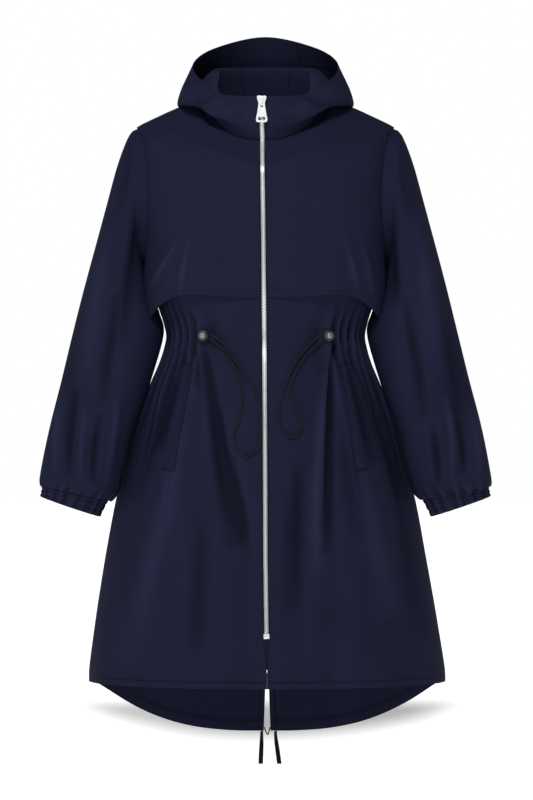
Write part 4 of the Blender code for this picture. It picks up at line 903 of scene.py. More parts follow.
for name, side in SIDES:
    points, normals, _ = panel_grid(FRONT, side, np.linspace(*WELT_FIELD), FRONT_SHARES)
    over = []
    for end in np.linspace(0.0, 1.0, 42):
        inner_x, outer_x, z = smooth_path(WELT_ROWS, end * (len(WELT_ROWS) - 1))
        row = []
        for share in np.linspace(0.0, 1.0, 9):
            x = inner_x + (outer_x - inner_x) * share
            point, normal = on_grid(points, normals, x, z + WELT_TILT * (share - 0.5))
            edge = min(share, 1 - share, 8 * end, 8 * (1 - end))
            low = WELT_SOFT * (1 - min(edge / 0.12, 1.0))
            row.append(point + normal * (WELT_STAND + WELT_THICK - low))
        over.append(row)
    cloth_piece(f"pocket_welt_{name}_cloth", f"pocket_welt_{name}", side, np.array(over), "laid",
                flat=(0.026, 0.168), rests_on=[f"front_panel_{name}"], turn=side, thick=WELT_THICK)

# Sleeves and cuffs
# Wide one-piece sleeves set into the armholes. Each blouses over a narrow cuff with
# elastic stitched inside, which draws the cloth into small upright gathers.
SLEEVE_RINGS = [
    (0.2135, -0.0270, 0.1925, -0.2501, 0.000, 0.0625),
    (0.2225, -0.0425, 0.1925, -0.2548, 0.000, 0.0655),
    (0.2370, -0.0831, 0.1895, -0.2640, -0.001, 0.0690),
    (0.2538, -0.1442, 0.1848, -0.2770, -0.004, 0.0705),
    (0.2735, -0.2184, 0.1779, -0.2945, -0.009, 0.0690),
    (0.2945, -0.2995, 0.1682, -0.3170, -0.017, 0.0660),
    (0.3114, -0.3685, 0.1608, -0.3525, -0.028, 0.0635),
    (0.3253, -0.4302, 0.1815, -0.4270, -0.041, 0.0615),
    (0.3381, -0.4857, 0.2040, -0.4890, -0.051, 0.0585),
    (0.3486, -0.5372, 0.2195, -0.5490, -0.057, 0.0560),
    (0.3552, -0.5757, 0.2305, -0.5965, -0.062, 0.0510),
    (0.3551, -0.5875, 0.2403, -0.6103, -0.064, 0.0450),
]
CUFF_RINGS = [(0.3515, -0.5925, 0.2492, -0.6147, -0.065, 0.0375),
              (0.3530, -0.6009, 0.2556, -0.6271, -0.065, 0.0345),
              (0.3545, -0.6083, 0.2620, -0.6399, -0.065, 0.0350)]
CUFF_GATHERS = 16
CUFF_PLEAT = 0.0014
AROUND = 160
RING_ANGLES = 2 * math.pi * np.arange(AROUND) / AROUND
SLEEVE_SEEDS = {1: (41, 5), -1: (42, 6)}
CUFF_SEEDS = {1: 7, -1: 8}
CUFF_ROWS = 22
SLEEVE_GATHER = 0.0020
SLEEVE_RIPPLE = 0.0013
CUFF_RIPPLE = 0.0013 / 3
ELASTIC_ROWS = (0.55, 1.35)
ELASTIC_WIDTH = 0.16
ELASTIC_PULL = 0.0010
SLEEVE_FOLDS = {
    -1: [
        (8.5, 14.5, -6.8, -0.3, 186, -135, 196, -200, 211, -290, 224, -380),
        (10.2, 17.0, 5.8, 0.0, 247, -190, 262, -270, 276, -360, 286, -440),
        (7.6, 12.7, -5.8, 0.3, 233, -290, 246, -380, 256, -470),
        (6.8, 5.1, 5.8, 0.3, 318, -440, 327, -510, 331, -572),
        (7.6, 5.1, -6.1, 0.0, 300, -440, 307, -510, 309, -575),
        (6.8, 5.1, 4.8, 0.3, 282, -470, 288, -530, 288, -585),
        (6.8, 5.1, -5.8, 0.0, 258, -480, 266, -540, 267, -592),
        (8.5, 11.9, -3.7, 0.3, 216, -50, 222, -100, 230, -170),
        (6.8, 5.9, 4.1, 0.0, 230, -450, 238, -520, 248, -590),
    ],
    1: [
        (8.5, 13.6, -6.5, 0.3, 184, -140, 196, -220, 208, -310),
        (10.2, 17.0, 5.8, 0.0, 238, -160, 254, -250, 266, -340, 272, -420),
        (8.5, 12.7, -6.1, -0.3, 222, -300, 238, -400, 246, -490),
        (8.5, 11.9, -4.4, 0.0, 284, -330, 298, -410, 306, -480),
        (6.8, 5.1, 5.4, -0.3, 322, -460, 330, -520, 334, -575),
        (6.8, 5.1, -6.1, 0.0, 303, -470, 311, -530, 313, -578),
        (6.8, 5.1, 5.1, -0.3, 284, -450, 292, -520, 292, -585),
        (5.9, 5.1, -5.8, 0.0, 262, -500, 268, -550, 270, -595),
        (8.5, 11.9, -3.7, -0.3, 214, -60, 222, -110, 231, -180),
    ],
}


def armhole_line(share):
    """Points round the body at a share of its width, from the shoulder tip by the front."""
    line = []
    for turn in 2 * ARM_STEPS * np.arange(AROUND) / AROUND:
        front = turn <= ARM_STEPS
        level = SHOULDER_LEVEL - turn if front else UNDERARM_LEVEL + turn - ARM_STEPS
        line.append(body_run(level, front, [share])[0])
    return np.array(line)


def ring_line(ring, wobble=0.0):
    """Points round a sleeve or cuff at one ring, with its pleats if it has a wobble."""
    outer_x, outer_z, inner_x, inner_z, middle_y, half_depth = ring
    middle = np.array([0.5 * (outer_x + inner_x), middle_y, 0.5 * (outer_z + inner_z)])
    reach = np.array([0.5 * (outer_x - inner_x), 0.0, 0.5 * (outer_z - inner_z)])
    swell = wobble * np.cos(CUFF_GATHERS * RING_ANGLES)
    along = np.cos(RING_ANGLES) * (1 + swell / np.linalg.norm(reach))
    points = middle + along[:, None] * reach
    points[:, 1] -= np.sin(RING_ANGLES) * (half_depth + swell)
    return points


def ripples(seed, least, counts):
    """Uneven small waves round a ring."""
    chance = np.random.default_rng(seed)
    return sum(chance.uniform(least, 1.0) * np.cos(count * RING_ANGLES + chance.uniform(0, 6.28))
               for count in counts)


top = CUFF_RINGS[0]
wrist_axis = np.array([top[3] - top[1], 0.0, top[0] - top[2]])
wrist_axis /= np.linalg.norm(wrist_axis)
wrist = (top[0] + wrist_axis[0] * BUTT, top[1] + wrist_axis[2] * BUTT,
         top[2] + wrist_axis[0] * BUTT, top[3] + wrist_axis[2] * BUTT, top[4], top[5])


def in_wrist_plane(normals):
    """Normals turned into the plane where the sleeve and its cuff meet."""
    return unit(normals - np.sum(normals * wrist_axis, axis=-1, keepdims=True) * wrist_axis)


def sleeve_grid(side):
    """Outer and inner points of one sleeve, and how deep its folds are."""
    edge = armhole_line(1.0)
    edge[0, 1] = edge[AROUND // 2, 1] = 0.0
    ahead = np.roll(edge, -1, axis=0) - np.roll(edge, 1, axis=0)
    # Inwards, across the body's own surface at the edge
    surface = np.cross(ahead, armhole_line(0.985) - edge)
    inward = unit(np.cross(ahead, surface))
    inward *= np.sign(np.sum(inward * (edge.mean(axis=0) - edge), axis=1, keepdims=True))
    rings = [edge + inward * BUTT] + [ring_line(ring) for ring in SLEEVE_RINGS + [wrist]]
    places = spread(0.0, (16, 2.0), (96, 10.0), (36, 13.0))
    outer = np.array([smooth_path(rings, place) for place in places])
    normals = grid_normals(outer, 1.0, ring=True)
    facing = np.clip(-normals[..., 1] / 0.5, 0.0, 1.0)
    behind = np.clip(normals[..., 1] / 0.5, 0.0, 1.0)
    push = fold_push(outer[..., 0], outer[..., 2], SLEEVE_FOLDS[side]) * facing
    push += fold_push(outer[..., 0], outer[..., 2], SLEEVE_FOLDS[-side]) * behind
    uneven_seed, ripple_seed = SLEEVE_SEEDS[side]
    push += unevenness(outer[..., 0], outer[..., 2], uneven_seed)
    small = SLEEVE_RIPPLE * ripples(ripple_seed, 0.3, (17, 19, 23, 29))
    near_cuff = np.clip((places - 10.2) / 2.4, 0.0, 1.0) ** 1.6
    push += (SLEEVE_GATHER * np.cos(CUFF_GATHERS * RING_ANGLES) + small) * near_cuff[:, None]
    quiet = np.clip(places / 1.6, 0.0, 1.0) * np.clip((places[-1] - places) / 0.5, 0.0, 1.0)
    push = push * quiet[:, None]
    outer = outer + normals * push[..., None]
    normals = grid_normals(outer, 1.0, ring=True)
    normals[-1] = in_wrist_plane(normals[-1])
    return outer, outer - normals * CLOTH, painted_fold_shade(push)


def cuff_grid(side):
    """Outer and inner points of one cuff, and how deep its pleats are."""
    outer, plain = [smooth_points([ring_line(ring, wobble) for ring in CUFF_RINGS], CUFF_ROWS)
                    for wobble in (CUFF_PLEAT, 0.0)]
    places = np.linspace(0.0, 2.0, CUFF_ROWS)
    normals = grid_normals(plain, 1.0, ring=True)
    normals[0] = in_wrist_plane(normals[0])
    # The elastic's two rows of stitching pull the cuff in
    pull = sum(np.exp(-((places - row) / ELASTIC_WIDTH) ** 2) for row in ELASTIC_ROWS)
    push = CUFF_RIPPLE * ripples(CUFF_SEEDS[side], 0.4, (21, 27, 33)) - ELASTIC_PULL * pull[:, None]
    push[0] = 0.0
    outer = outer + normals * push[..., None]
    pleats = push + CUFF_PLEAT * np.cos(CUFF_GATHERS * RING_ANGLES)
    return outer, outer - normals * CLOTH, painted_fold_shade(pleats, FINE_CREASE)


for name, side in SIDES:
    outer, inner, depth = sleeve_grid(side)
    # Painted shade along the armhole and wrist seams
    seam_painted_shade(depth, dark=0.9, rows=(0, -1))
    cloth_piece(f"sleeve_{name}_cloth", f"sleeve_{name}", side, outer, "hung", flat=(0.470, 0.600),
                area=0.205, inner=inner, turn=side, ring=True, depth=depth)
    outer, inner, depth = cuff_grid(side)
    # Painted shade along the cuff's seam at the wrist
    seam_painted_shade(depth, dark=0.9, rows=(0,))
    cloth_piece(f"cuff_{name}_cloth", f"cuff_{name}", side, outer, "gathered", flat=(0.330, 0.026),
                inner=inner, turn=side, ring=True, depth=depth)

# Hood
# Three panels: two sides that carry on to the front as the stand, and a middle strip. It
# lies folded back, so that its face edge stands behind the neck as a deep ruff.
HOOD_STATIONS = np.array([
    [(0.0055, -0.0905, -0.0290), (0.0055, -0.0930, -0.0110),
     (0.0055, -0.0925, 0.0060), (0.0055, -0.0885, 0.0223)],
    [(0.0390, -0.0870, -0.0265), (0.0425, -0.0900, -0.0105),
     (0.0430, -0.0885, 0.0065), (0.0418, -0.0815, 0.0230)],
    [(0.0670, -0.0690, -0.0130), (0.0780, -0.0780, -0.0080),
     (0.0800, -0.0725, 0.0140), (0.0708, -0.0600, 0.0325)],
    [(0.0800, -0.0430, 0.0340), (0.1040, -0.0580, 0.0055),
     (0.1080, -0.0560, 0.0350), (0.0735, -0.0400, 0.0678)],
    [(0.0845, -0.0190, 0.0540), (0.1260, -0.0300, 0.0125),
     (0.1290, -0.0260, 0.0360), (0.1005, -0.0180, 0.0540)],
    [(0.0860, 0.0080, 0.0700), (0.1370, 0.0180, 0.0148),
     (0.1345, 0.0220, 0.0430), (0.1168, 0.0250, 0.0843)],
    [(0.0700, 0.0500, 0.0780), (0.1060, 0.0980, -0.0040),
     (0.1080, 0.1150, 0.0560), (0.0830, 0.0980, 0.1180)],
    [(0.0, 0.0740, 0.0800), (0.0, 0.1340, -0.0260),
     (0.0, 0.1640, 0.0580), (0.0, 0.1480, 0.1420)],
])
NECK_PLACES = [0.0, 0.37, 0.60, 0.79, 0.96, 1.105, 1.51, 2.0]
HOOD_SEAM = 1.72
HOOD_SEAM_GAP = 0.0001
HOOD_ROWS = 72
HOOD_HEM_ROW = HOOD_ROWS - 10
HOOD_SEEDS = {1: 72, -1: 70}
HOOD_UNEVEN = 0.0006
HOOD_FOLDS = {
    1: [
        (5.0, 8.0, -1.6, 0.3, 56, 26, 84, 15, 118, 6),
        (5.0, 7.0, 1.3, 0.0, 40, -6, 58, 0, 78, 10),
        (4.0, 6.0, -1.3, 0.0, 24, -12, 46, -16, 66, -8),
    ],
    -1: [
        (5.0, 7.0, 1.4, 0.4, 40, 12, 52, -2, 60, -14),
        (6.0, 9.0, -1.4, 0.0, 64, 30, 88, 18, 116, 12),
        (4.0, 6.0, -1.2, 0.0, 22, 4, 36, -10, 46, -20),
    ],
}


def neck_point(place):
    """Outer neck edge and the direction up to the hood, at a place from zip to centre back."""
    front = place <= 1.0
    share = place if front else 2.0 - place
    here = body_run(NECK_LEVEL, front, [share])[0]
    up = here - body_run(NECK_LEVEL - 0.2, front, [share])[0]
    return here + up / np.linalg.norm(up) * BUTT, up


def hood_grid(places):
    """Outer and inner points of one hood panel; places run along the neck seam."""
    padded = np.concatenate([HOOD_STATIONS, HOOD_STATIONS[-2:-1] * np.array([-1.0, 1.0, 1.0])])
    columns = []
    seam_walls = []
    for place in places:
        near = min(place, 4.0 - place)
        side = np.array([1.0 if place <= 2.0 else -1.0, 1.0, 1.0])
        seam, up = neck_point(near)
        ahead = neck_point(min(near + 0.01, 2.0))[0] - neck_point(max(near - 0.01, 0.0))[0]
        wall = np.cross(up, ahead)
        wall *= np.sign(np.dot(wall, (0.0, 0.01, -0.06) - seam)) / np.linalg.norm(wall)
        station = np.interp(near, NECK_PLACES, range(len(NECK_PLACES)))
        knots = np.concatenate([[seam], smooth_path(padded, station)])
        columns.append(smooth_points(knots, HOOD_ROWS) * side)
        seam_walls.append((seam + wall * CLOTH) * side)
    outer = np.array(columns).transpose(1, 0, 2)
    inner = outer - grid_normals(outer, 1.0) * CLOTH
    inner[0] = np.array(seam_walls)
    return outer, inner


def edge_fade(count, near, far):
    """From 0 at the first and last of a count of rows or columns up to 1 between them."""
    index = np.arange(count)
    fade = np.clip((count - 1 - index) / far, 0, 1)
    return np.minimum(np.clip(index / near, 0, 1), fade)


side_places = spread(0.0, (55, 1.0), (59, HOOD_SEAM - HOOD_SEAM_GAP))
centre_places = np.linspace(HOOD_SEAM + HOOD_SEAM_GAP, 4.0 - HOOD_SEAM - HOOD_SEAM_GAP, 40)
side_outer, side_inner = hood_grid(side_places)
side_facing = grid_normals(side_outer, 1.0)
for name, side in SIDES:
    push = fold_push(side_outer[..., 0], side_outer[..., 2], HOOD_FOLDS[side])
    push += unevenness(side_outer[..., 0] + side_outer[..., 1], side_outer[..., 2],
                       HOOD_SEEDS[side], HOOD_UNEVEN)
    push *= edge_fade(HOOD_ROWS, 8, 6)[:, None] * edge_fade(len(side_places), 8, 6)
    bulge = side_facing * push[..., None]
    # Painted shade along the neck seam, the hem line and the seam to the middle strip
    depth = seam_painted_shade(painted_fold_shade(push, FINE_CREASE), dark=0.9, rows=(0, HOOD_HEM_ROW), columns=(-1,))
    cloth_piece(f"hood_side_{name}_cloth", f"hood_side_{name}", side, side_outer + bulge, "folded",
                flat=(0.330, 0.300), area=0.062, inner=side_inner + bulge, turn=side, depth=depth)
centre_outer, centre_inner = hood_grid(centre_places)
# Painted shade along the middle strip's neck seam, hem line and both side seams
depth = seam_painted_shade(np.zeros(centre_outer.shape[:2]), dark=0.9, rows=(0, HOOD_HEM_ROW),
                 columns=(0, -1))
cloth_piece("hood_centre_cloth", "hood_centre", 1, centre_outer, "folded", flat=(0.118, 0.345),
            inner=centre_inner, depth=depth)

# Zip
# A one-way metal zip in the front slot: teeth that lock together on a narrow woven tape, a
# slider at the top with a hanging pull tab, and a small box that closes the bottom.
CHAIN_TOP_Z = 0.0053
CHAIN_END_Z = -0.8165
TAPE_TOP_Z = 0.0205
TAPE_END_Z = -0.8720
TAPE_HALF = 0.0052
TAPE_FACE = 0.0018
TAPE_BACK = 0.0026
TOOTH_PITCH = 0.00122
TAPE_COLOUR = (0.0120, 0.0132, 0.0260, 1.0)
TAPE_SHADE = (0.0085, 0.0095, 0.0190, 1.0)
TAPE_PROFILE = [(-TAPE_HALF, 0.0), (-0.0040, -0.0001), (-0.0033, 0.0001), (0.0, 0.0002),
                (0.0033, 0.0001), (0.0040, -0.0001), (TAPE_HALF, 0.0)]
SILVER = (0.86, 0.86, 0.87, 1.0)
SILVER_DULL = (0.74, 0.74, 0.75, 1.0)
ZIP_STEP = 0.004
CHAIN_INWARDS = 0.0004
SCRATCH_SCALE = 260.0
BLOTCH_SCALE = 350.0

front_line, front_facing, _ = panel_grid(FRONT, 1, PANEL_LEVELS, FRONT_SHARES[:3])
zip_points = np.concatenate([front_line[:, 0], side_outer[1:, 0]])
zip_normals = np.concatenate([flattened(front_facing[:, 0], 0),
                              flattened(grid_normals(side_outer, 1.0)[1:, 0], 0)])


def zip_line(low, high, inwards, across=0.0):
    """Points up the zip a little behind the cloth's face, before the lean."""
    heights = np.linspace(low, high, int((high - low) / ZIP_STEP) + 1)
    y, normal_y, normal_z = [np.interp(heights, zip_points[:, 2], column) for column in
                             (zip_points[:, 1], zip_normals[:, 1], zip_normals[:, 2])]
    return np.stack([np.full_like(heights, across), y - normal_y * inwards,
                     heights - normal_z * inwards], axis=1)


tape_cloth = woven("zip tape", TAPE_SHADE, TAPE_COLOUR, 1400.0, 0.80, 0.08)
tape_columns = [zip_line(TAPE_END_Z, TAPE_TOP_Z, TAPE_FACE + sunk, across)
                for across, sunk in TAPE_PROFILE]
tape = shell("zip_tape_ribbon", lean(np.array(tape_columns).transpose(1, 0, 2)), tape_cloth,
             thick=TAPE_BACK - TAPE_FACE)
declared(tape, "zip_tape")

worn = bpy.data.node_groups.new("handled metal", "ShaderNodeTree")
for name in ("Rub", "Height"):
    worn.interface.new_socket(name=name, in_out="OUTPUT", socket_type="NodeSocketFloat")
here = node(worn, "ShaderNodeTexCoord").outputs["Object"]
drawn_out = node(worn, "ShaderNodeVectorMath", {0: here, 1: (9.0, 9.0, 1.0)},
                 operation="MULTIPLY").outputs[0]
scratches = node(worn, "ShaderNodeTexNoise", {"Vector": drawn_out, "Scale": SCRATCH_SCALE,
                                              "Detail": 2.0})
blotches = node(worn, "ShaderNodeTexNoise", {"Vector": here, "Scale": BLOTCH_SCALE, "Detail": 3.0})
node(worn, "NodeGroupOutput", {"Rub": blotches.outputs["Fac"], "Height": scratches.outputs["Fac"]})


def metal(name, colour, dark, low, high):
    """Plated metal that is a little rubbed: uneven gloss, fine scratches."""
    material, tree, shader = new_material(name, colour, low, Metallic=0.85)
    group = node(tree, "ShaderNodeGroup", node_tree=worn).outputs
    tree.links.new(ranged(tree, group["Rub"], 0.3, 0.7, low, high), shader.inputs["Roughness"])
    tree.links.new(blend(tree, group["Rub"], dark, colour), shader.inputs["Base Color"])
    bumped(tree, shader, group["Height"], 0.2, 0.00008)
    return material


silver = metal("silver zip metal", SILVER, SILVER_DULL, 0.38, 0.52)


def path_tree(name, *lengths):
    """A node tree that sets points a pitch apart along a path; finish_tree puts copies there."""
    tree = bpy.data.node_groups.new(name, "GeometryNodeTree")
    sockets = tree.interface
    sockets.new_socket(name="Path", in_out="INPUT", socket_type="NodeSocketGeometry")
    for length in ("Pitch", *lengths):
        sockets.new_socket(name=length, in_out="INPUT", socket_type="NodeSocketFloat")
    sockets.new_socket(name="Material", in_out="INPUT", socket_type="NodeSocketMaterial")
    sockets.new_socket(name="Copies", in_out="OUTPUT", socket_type="NodeSocketGeometry")
    given = node(tree, "NodeGroupInput").outputs
    route = node(tree, "GeometryNodeMeshToCurve", {"Mesh": given["Path"]}).outputs[0]
    spaced = node(tree, "GeometryNodeResampleCurve", {"Curve": route, "Length": given["Pitch"]},
                  mode="LENGTH").outputs[0]
    return tree, given, spaced


def finish_tree(tree, given, points, copy, **placing):
    """Puts upright copies on the points, in the material that is given."""
    tangent = node(tree, "GeometryNodeInputTangent").outputs[0]
    upright = node(tree, "FunctionNodeAlignRotationToVector", {"Vector": tangent}, axis="Z")
    placed = node(tree, "GeometryNodeInstanceOnPoints",
                  {"Points": points, "Instance": copy, "Rotation": upright.outputs[0], **placing})
    real = node(tree, "GeometryNodeRealizeInstances", {"Geometry": placed.outputs[0]}).outputs[0]
    done = node(tree, "GeometryNodeSetMaterial", {"Geometry": real, "Material": given["Material"]})
    node(tree, "NodeGroupOutput", {"Copies": done.outputs[0]})


def size_node(tree, **sizes):
    return node(tree, "ShaderNodeCombineXYZ", sizes).outputs[0]


teeth_tree, given, spaced = path_tree("zip teeth", "Reach", "Height", "Thickness", "Offset")
index = node(teeth_tree, "GeometryNodeInputIndex").outputs[0]
parity = math_node(teeth_tree, "MODULO", index, 2.0)
signed = ranged(teeth_tree, parity, 0.0, 1.0, -1.0, 1.0)
shift = size_node(teeth_tree, X=math_node(teeth_tree, "MULTIPLY", signed, given["Offset"]))
sided = node(teeth_tree, "GeometryNodeSetPosition", {"Geometry": spaced, "Offset": shift}).outputs[0]
bar_size = size_node(teeth_tree, X=given["Reach"], Y=given["Thickness"], Z=given["Height"])
bar = node(teeth_tree, "GeometryNodeMeshCube", {"Size": bar_size}).outputs["Mesh"]
nib = node(teeth_tree, "GeometryNodeMeshIcoSphere",
           {"Radius": math_node(teeth_tree, "MULTIPLY", given["Thickness"], 0.56),
            "Subdivisions": 1}).outputs["Mesh"]
tooth = node(teeth_tree, "GeometryNodeJoinGeometry")
teeth_tree.links.new(bar, tooth.inputs[0])
teeth_tree.links.new(nib, tooth.inputs[0])
finish_tree(teeth_tree, given, sided, tooth.outputs[0])


def grown(name, paths, tree, values):
    """Runs a node tree on open paths and returns the result as a plain mesh object."""
    mesh = bpy.data.meshes.new(name + "_paths")
    points = []
    edges = []
    for path in paths:
        first = len(points)
        points += [tuple(point) for point in path]
        edges += [(first + step, first + step + 1) for step in range(len(path) - 1)]
    mesh.from_pydata(points, edges, [])
    carrier = linked(name + "_paths", mesh)
    step = carrier.modifiers.new("grow", "NODES")
    step.node_group = tree
    for item in tree.interface.items_tree:
        if item.in_out == "INPUT" and item.name in values:
            step[item.identifier] = values[item.name]
    view = bpy.context.evaluated_depsgraph_get()
    made = bpy.data.meshes.new_from_object(carrier.evaluated_get(view))
    bpy.data.objects.remove(carrier, do_unlink=True)
    made.name = name
    return linked(name, made)


chain_line = lean(zip_line(CHAIN_END_Z, CHAIN_TOP_Z, CHAIN_INWARDS))
teeth = grown("zip_teeth", [chain_line], teeth_tree, {
    "Pitch": TOOTH_PITCH, "Reach": 0.0040, "Height": 0.00098, "Thickness": 0.0018,
    "Offset": 0.0013, "Material": silver})
declared(teeth, "zip_chain")


def hard_mesh(work, name, material, sharp):
    """The object of a hard piece that was worked on as a bmesh."""
    bmesh.ops.recalc_face_normals(work, faces=work.faces)
    mesh = bpy.data.meshes.new(name)
    work.to_mesh(mesh)
    work.free()
    mesh.materials.clear()
    mesh.materials.append(material)
    for polygon in mesh.polygons:
        polygon.material_index = 0
    mesh.shade_smooth()
    mesh.set_sharp_from_angle(angle=sharp)
    return linked(name, mesh)


def bevelled(node_name, name, width, material):
    """A copy of a hard CAD node with its edges rounded, on the same place."""
    work = bmesh.new()
    work.from_mesh(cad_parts[node_name].data)
    bmesh.ops.remove_doubles(work, verts=work.verts, dist=1e-5)
    bmesh.ops.dissolve_limit(work, angle_limit=math.radians(2), verts=work.verts, edges=work.edges)
    sharp = [edge for edge in work.edges if len(edge.link_faces) == 2
             and edge.calc_face_angle() > math.radians(24)]
    bmesh.ops.bevel(work, geom=sharp, offset=width, segments=2, profile=0.6, affect="EDGES",
                    clamp_overlap=True)
    return hard_mesh(work, name, material, math.radians(35))


for node_name, name, width, body in (("zip_slider", "zip_slider_body", 0.00035, "coat"),
                                     ("zip_pull_tab", "zip_pull_tab_plate", 0.00030, "pull_tab"),
                                     ("zip_end_box", "zip_bottom_box", 0.00030, "coat")):
    declared(bevelled(node_name, name, width, silver), node_name, body)

# Cord stops
# Round spring toggles where the waist cord comes out: a black moulded ring with a domed
# nickel cap pressed into it.
RING_PROFILE = [(0.0057, 0.0), (0.0089, 0.0), (0.0093, 0.0007), (0.0094, 0.0022), (0.0093, 0.0042),
                (0.0088, 0.0057), (0.0079, 0.0067), (0.0068, 0.0070), (0.0060, 0.0068),
                (0.0057, 0.0064)]
CAP_PROFILE = [(0.0, 0.0006), (0.0053, 0.0006), (0.0054, 0.0012), (0.0054, 0.0064),
               (0.0052, 0.0071), (0.0047, 0.0074), (0.0044, 0.0073), (0.0040, 0.0080),
               (0.0030, 0.0087), (0.0016, 0.0090), (0.0, 0.0091)]
LATHE_TURNS = 56
RIM_DEPTH = 0.0004
NICKEL = (0.27, 0.28, 0.27, 1.0)
NICKEL_DULL = (0.17, 0.175, 0.17, 1.0)

black_plastic, tree, shader = new_material("black moulded plastic", (0.010, 0.010, 0.012, 1.0), 0.42)
here = node(tree, "ShaderNodeTexCoord").outputs["Object"]
grain = node(tree, "ShaderNodeTexNoise", {"Vector": here, "Scale": 1800.0, "Detail": 2.0})
bumped(tree, shader, grain.outputs["Fac"], 0.3, 0.00010)
tree.links.new(ranged(tree, grain.outputs["Fac"], 0.0, 1.0, 0.34, 0.52), shader.inputs["Roughness"])
nickel = metal("nickel plate", NICKEL, NICKEL_DULL, 0.46, 0.58)


def turned(name, profile, seat, normal, material):
    """A turned piece: its profile spun round a normal from a seat point."""
    turn = Vector((0.0, 0.0, 1.0)).rotation_difference(Vector(normal)).to_matrix()
    work = bmesh.new()
    rings = []
    for step in range(LATHE_TURNS):
        angle = 2 * math.pi * step / LATHE_TURNS
        rings.append([work.verts.new(Vector(seat) + turn @ Vector((
            radius * math.cos(angle), radius * math.sin(angle), height)))
            for radius, height in profile])
    closed = profile[0][0] > 0
    for here, there in zip(rings, rings[1:] + rings[:1]):
        for index in range(len(profile) if closed else len(profile) - 1):
            after = (index + 1) % len(profile)
            work.faces.new((here[index], there[index], there[after], here[after]))
    bmesh.ops.remove_doubles(work, verts=work.verts, dist=1e-6)
    bmesh.ops.dissolve_degenerate(work, dist=1e-7, edges=work.edges)
    return hard_mesh(work, name, material, SHARP_ANGLE)


for name, _ in SIDES:
    points = np.array([vertex.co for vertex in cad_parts[f"toggle_ring_{name}"].data.vertices])
    centre = points.mean(axis=0)
    # The ring is thinnest along its axis, which points out of the front
    axis = np.linalg.svd(points - centre, full_matrices=False)[2][2]
    axis *= -np.sign(axis[1])
    heights = (points - centre) @ axis
    seat = points[heights < heights.min() + RIM_DEPTH].mean(axis=0)
    for kind, profile, material, slot in (("ring", RING_PROFILE, black_plastic, "black_plastic"),
                                          ("cap", CAP_PROFILE, nickel, "nickel")):
        piece = turned(f"cord_stop_{kind}_{name}", profile, seat, axis, material)
        declared(piece, f"toggle_{kind}_{name}")

# Hem tape ends
# Two flat ends of the tape that draws in the back hem hang out at the vent, each turning
# once as it falls, with its cut end sealed.
TAPE_ROWS = np.array([(0.0166, -0.0062, 0.2042, -1.0071, 58.0), (0.0170, -0.0064, 0.2046, -1.0160, 50.0),
                      (0.0180, -0.0067, 0.2051, -1.0260, 34.0), (0.0194, -0.0071, 0.2054, -1.0360, 16.0),
                      (0.0208, -0.0075, 0.2054, -1.0460, 4.0), (0.0220, -0.0078, 0.2052, -1.0545, -2.0),
                      (0.0230, -0.0080, 0.2050, -1.0620, -4.0)])
TAPE_END_HALF = 0.0038
TAPE_END_THICK = 0.0012
TAPE_END_STEP = 0.002
TAPE_END_SHADE = (0.0075, 0.0085, 0.0170, 1.0)
TAPE_END_COLOUR = (0.0115, 0.0128, 0.0270, 1.0)

end_cloth = woven("hem tape", TAPE_END_SHADE, TAPE_END_COLOUR, 1500.0, 0.72, 0.10)

for column, name in ((0, "left"), (1, "right")):
    rows = []
    for place in np.linspace(len(TAPE_ROWS) - 1, 0.0, 32):
        row = smooth_path(TAPE_ROWS, place)
        turn = math.radians(row[4])
        middle = np.array([row[column], row[2], row[3]])
        across = np.array([math.cos(turn), math.sin(turn), 0.0])
        deep = np.array([math.sin(turn), -math.cos(turn), 0.0]) * 0.5 * TAPE_END_THICK
        rows.append([middle + across * TAPE_END_HALF * share + deep * (1 - 0.5 * abs(share) ** 6)
                     for share in np.linspace(-1.0, 1.0, 9)])
    ends = shell(f"hem_tape_end_{name}", np.array(rows), end_cloth, thick=0.8 * TAPE_END_THICK)
    declared(ends, f"hem_tape_{name}")
    path, length = even_path(TAPE_ROWS[:, (column, 2, 3)], TAPE_END_STEP)

# Stitching
# Lockstitch in navy thread, tone on tone: above the hems of the fronts and backs, inside the
# back hem too, down both sides of the zip, and along the storm flaps' free edges.
THREAD_COLOUR = (0.0060, 0.0070, 0.0170, 1.0)
# Painted shade for the grooves between the plies and a painted highlight for their crowns
THREAD_GROOVE_SHADE = (0.0045, 0.0053, 0.0130, 1.0)
THREAD_CROWN_HIGHLIGHT = (0.0080, 0.0092, 0.0220, 1.0)
THREAD_SIZE = 0.00055
STITCH_LENGTH = 0.0028
STITCH_PITCH = 0.0034
PROUD = 0.00012
ZIP_SEAM_X = 0.0125
FLAP_STITCH_ROW = -7

thread, tree, shader = new_material("navy thread", THREAD_COLOUR, 0.70, Specular_IOR_Level=0.08)
here = node(tree, "ShaderNodeTexCoord").outputs["Object"]
ply = node(tree, "ShaderNodeTexWave", {"Vector": here, "Scale": 900.0, "Distortion": 1.0},
           bands_direction="DIAGONAL").outputs["Fac"]
bumped(tree, shader, ply, 0.4, 0.00005)
# The thread's colour follows its ply height: painted shade in the grooves, a painted highlight on the
# crowns
tree.links.new(blend(tree, ply, THREAD_GROOVE_SHADE, THREAD_CROWN_HIGHLIGHT), shader.inputs["Base Color"])

stitch_tree, given, spaced = path_tree("stitch run", "Stitch length", "Thread")
bead = node(stitch_tree, "GeometryNodeMeshIcoSphere", {"Radius": 0.5, "Subdivisions": 1})
size = size_node(stitch_tree, X=given["Thread"], Y=given["Thread"], Z=given["Stitch length"])
finish_tree(stitch_tree, given, spaced, bead.outputs["Mesh"], Scale=size)


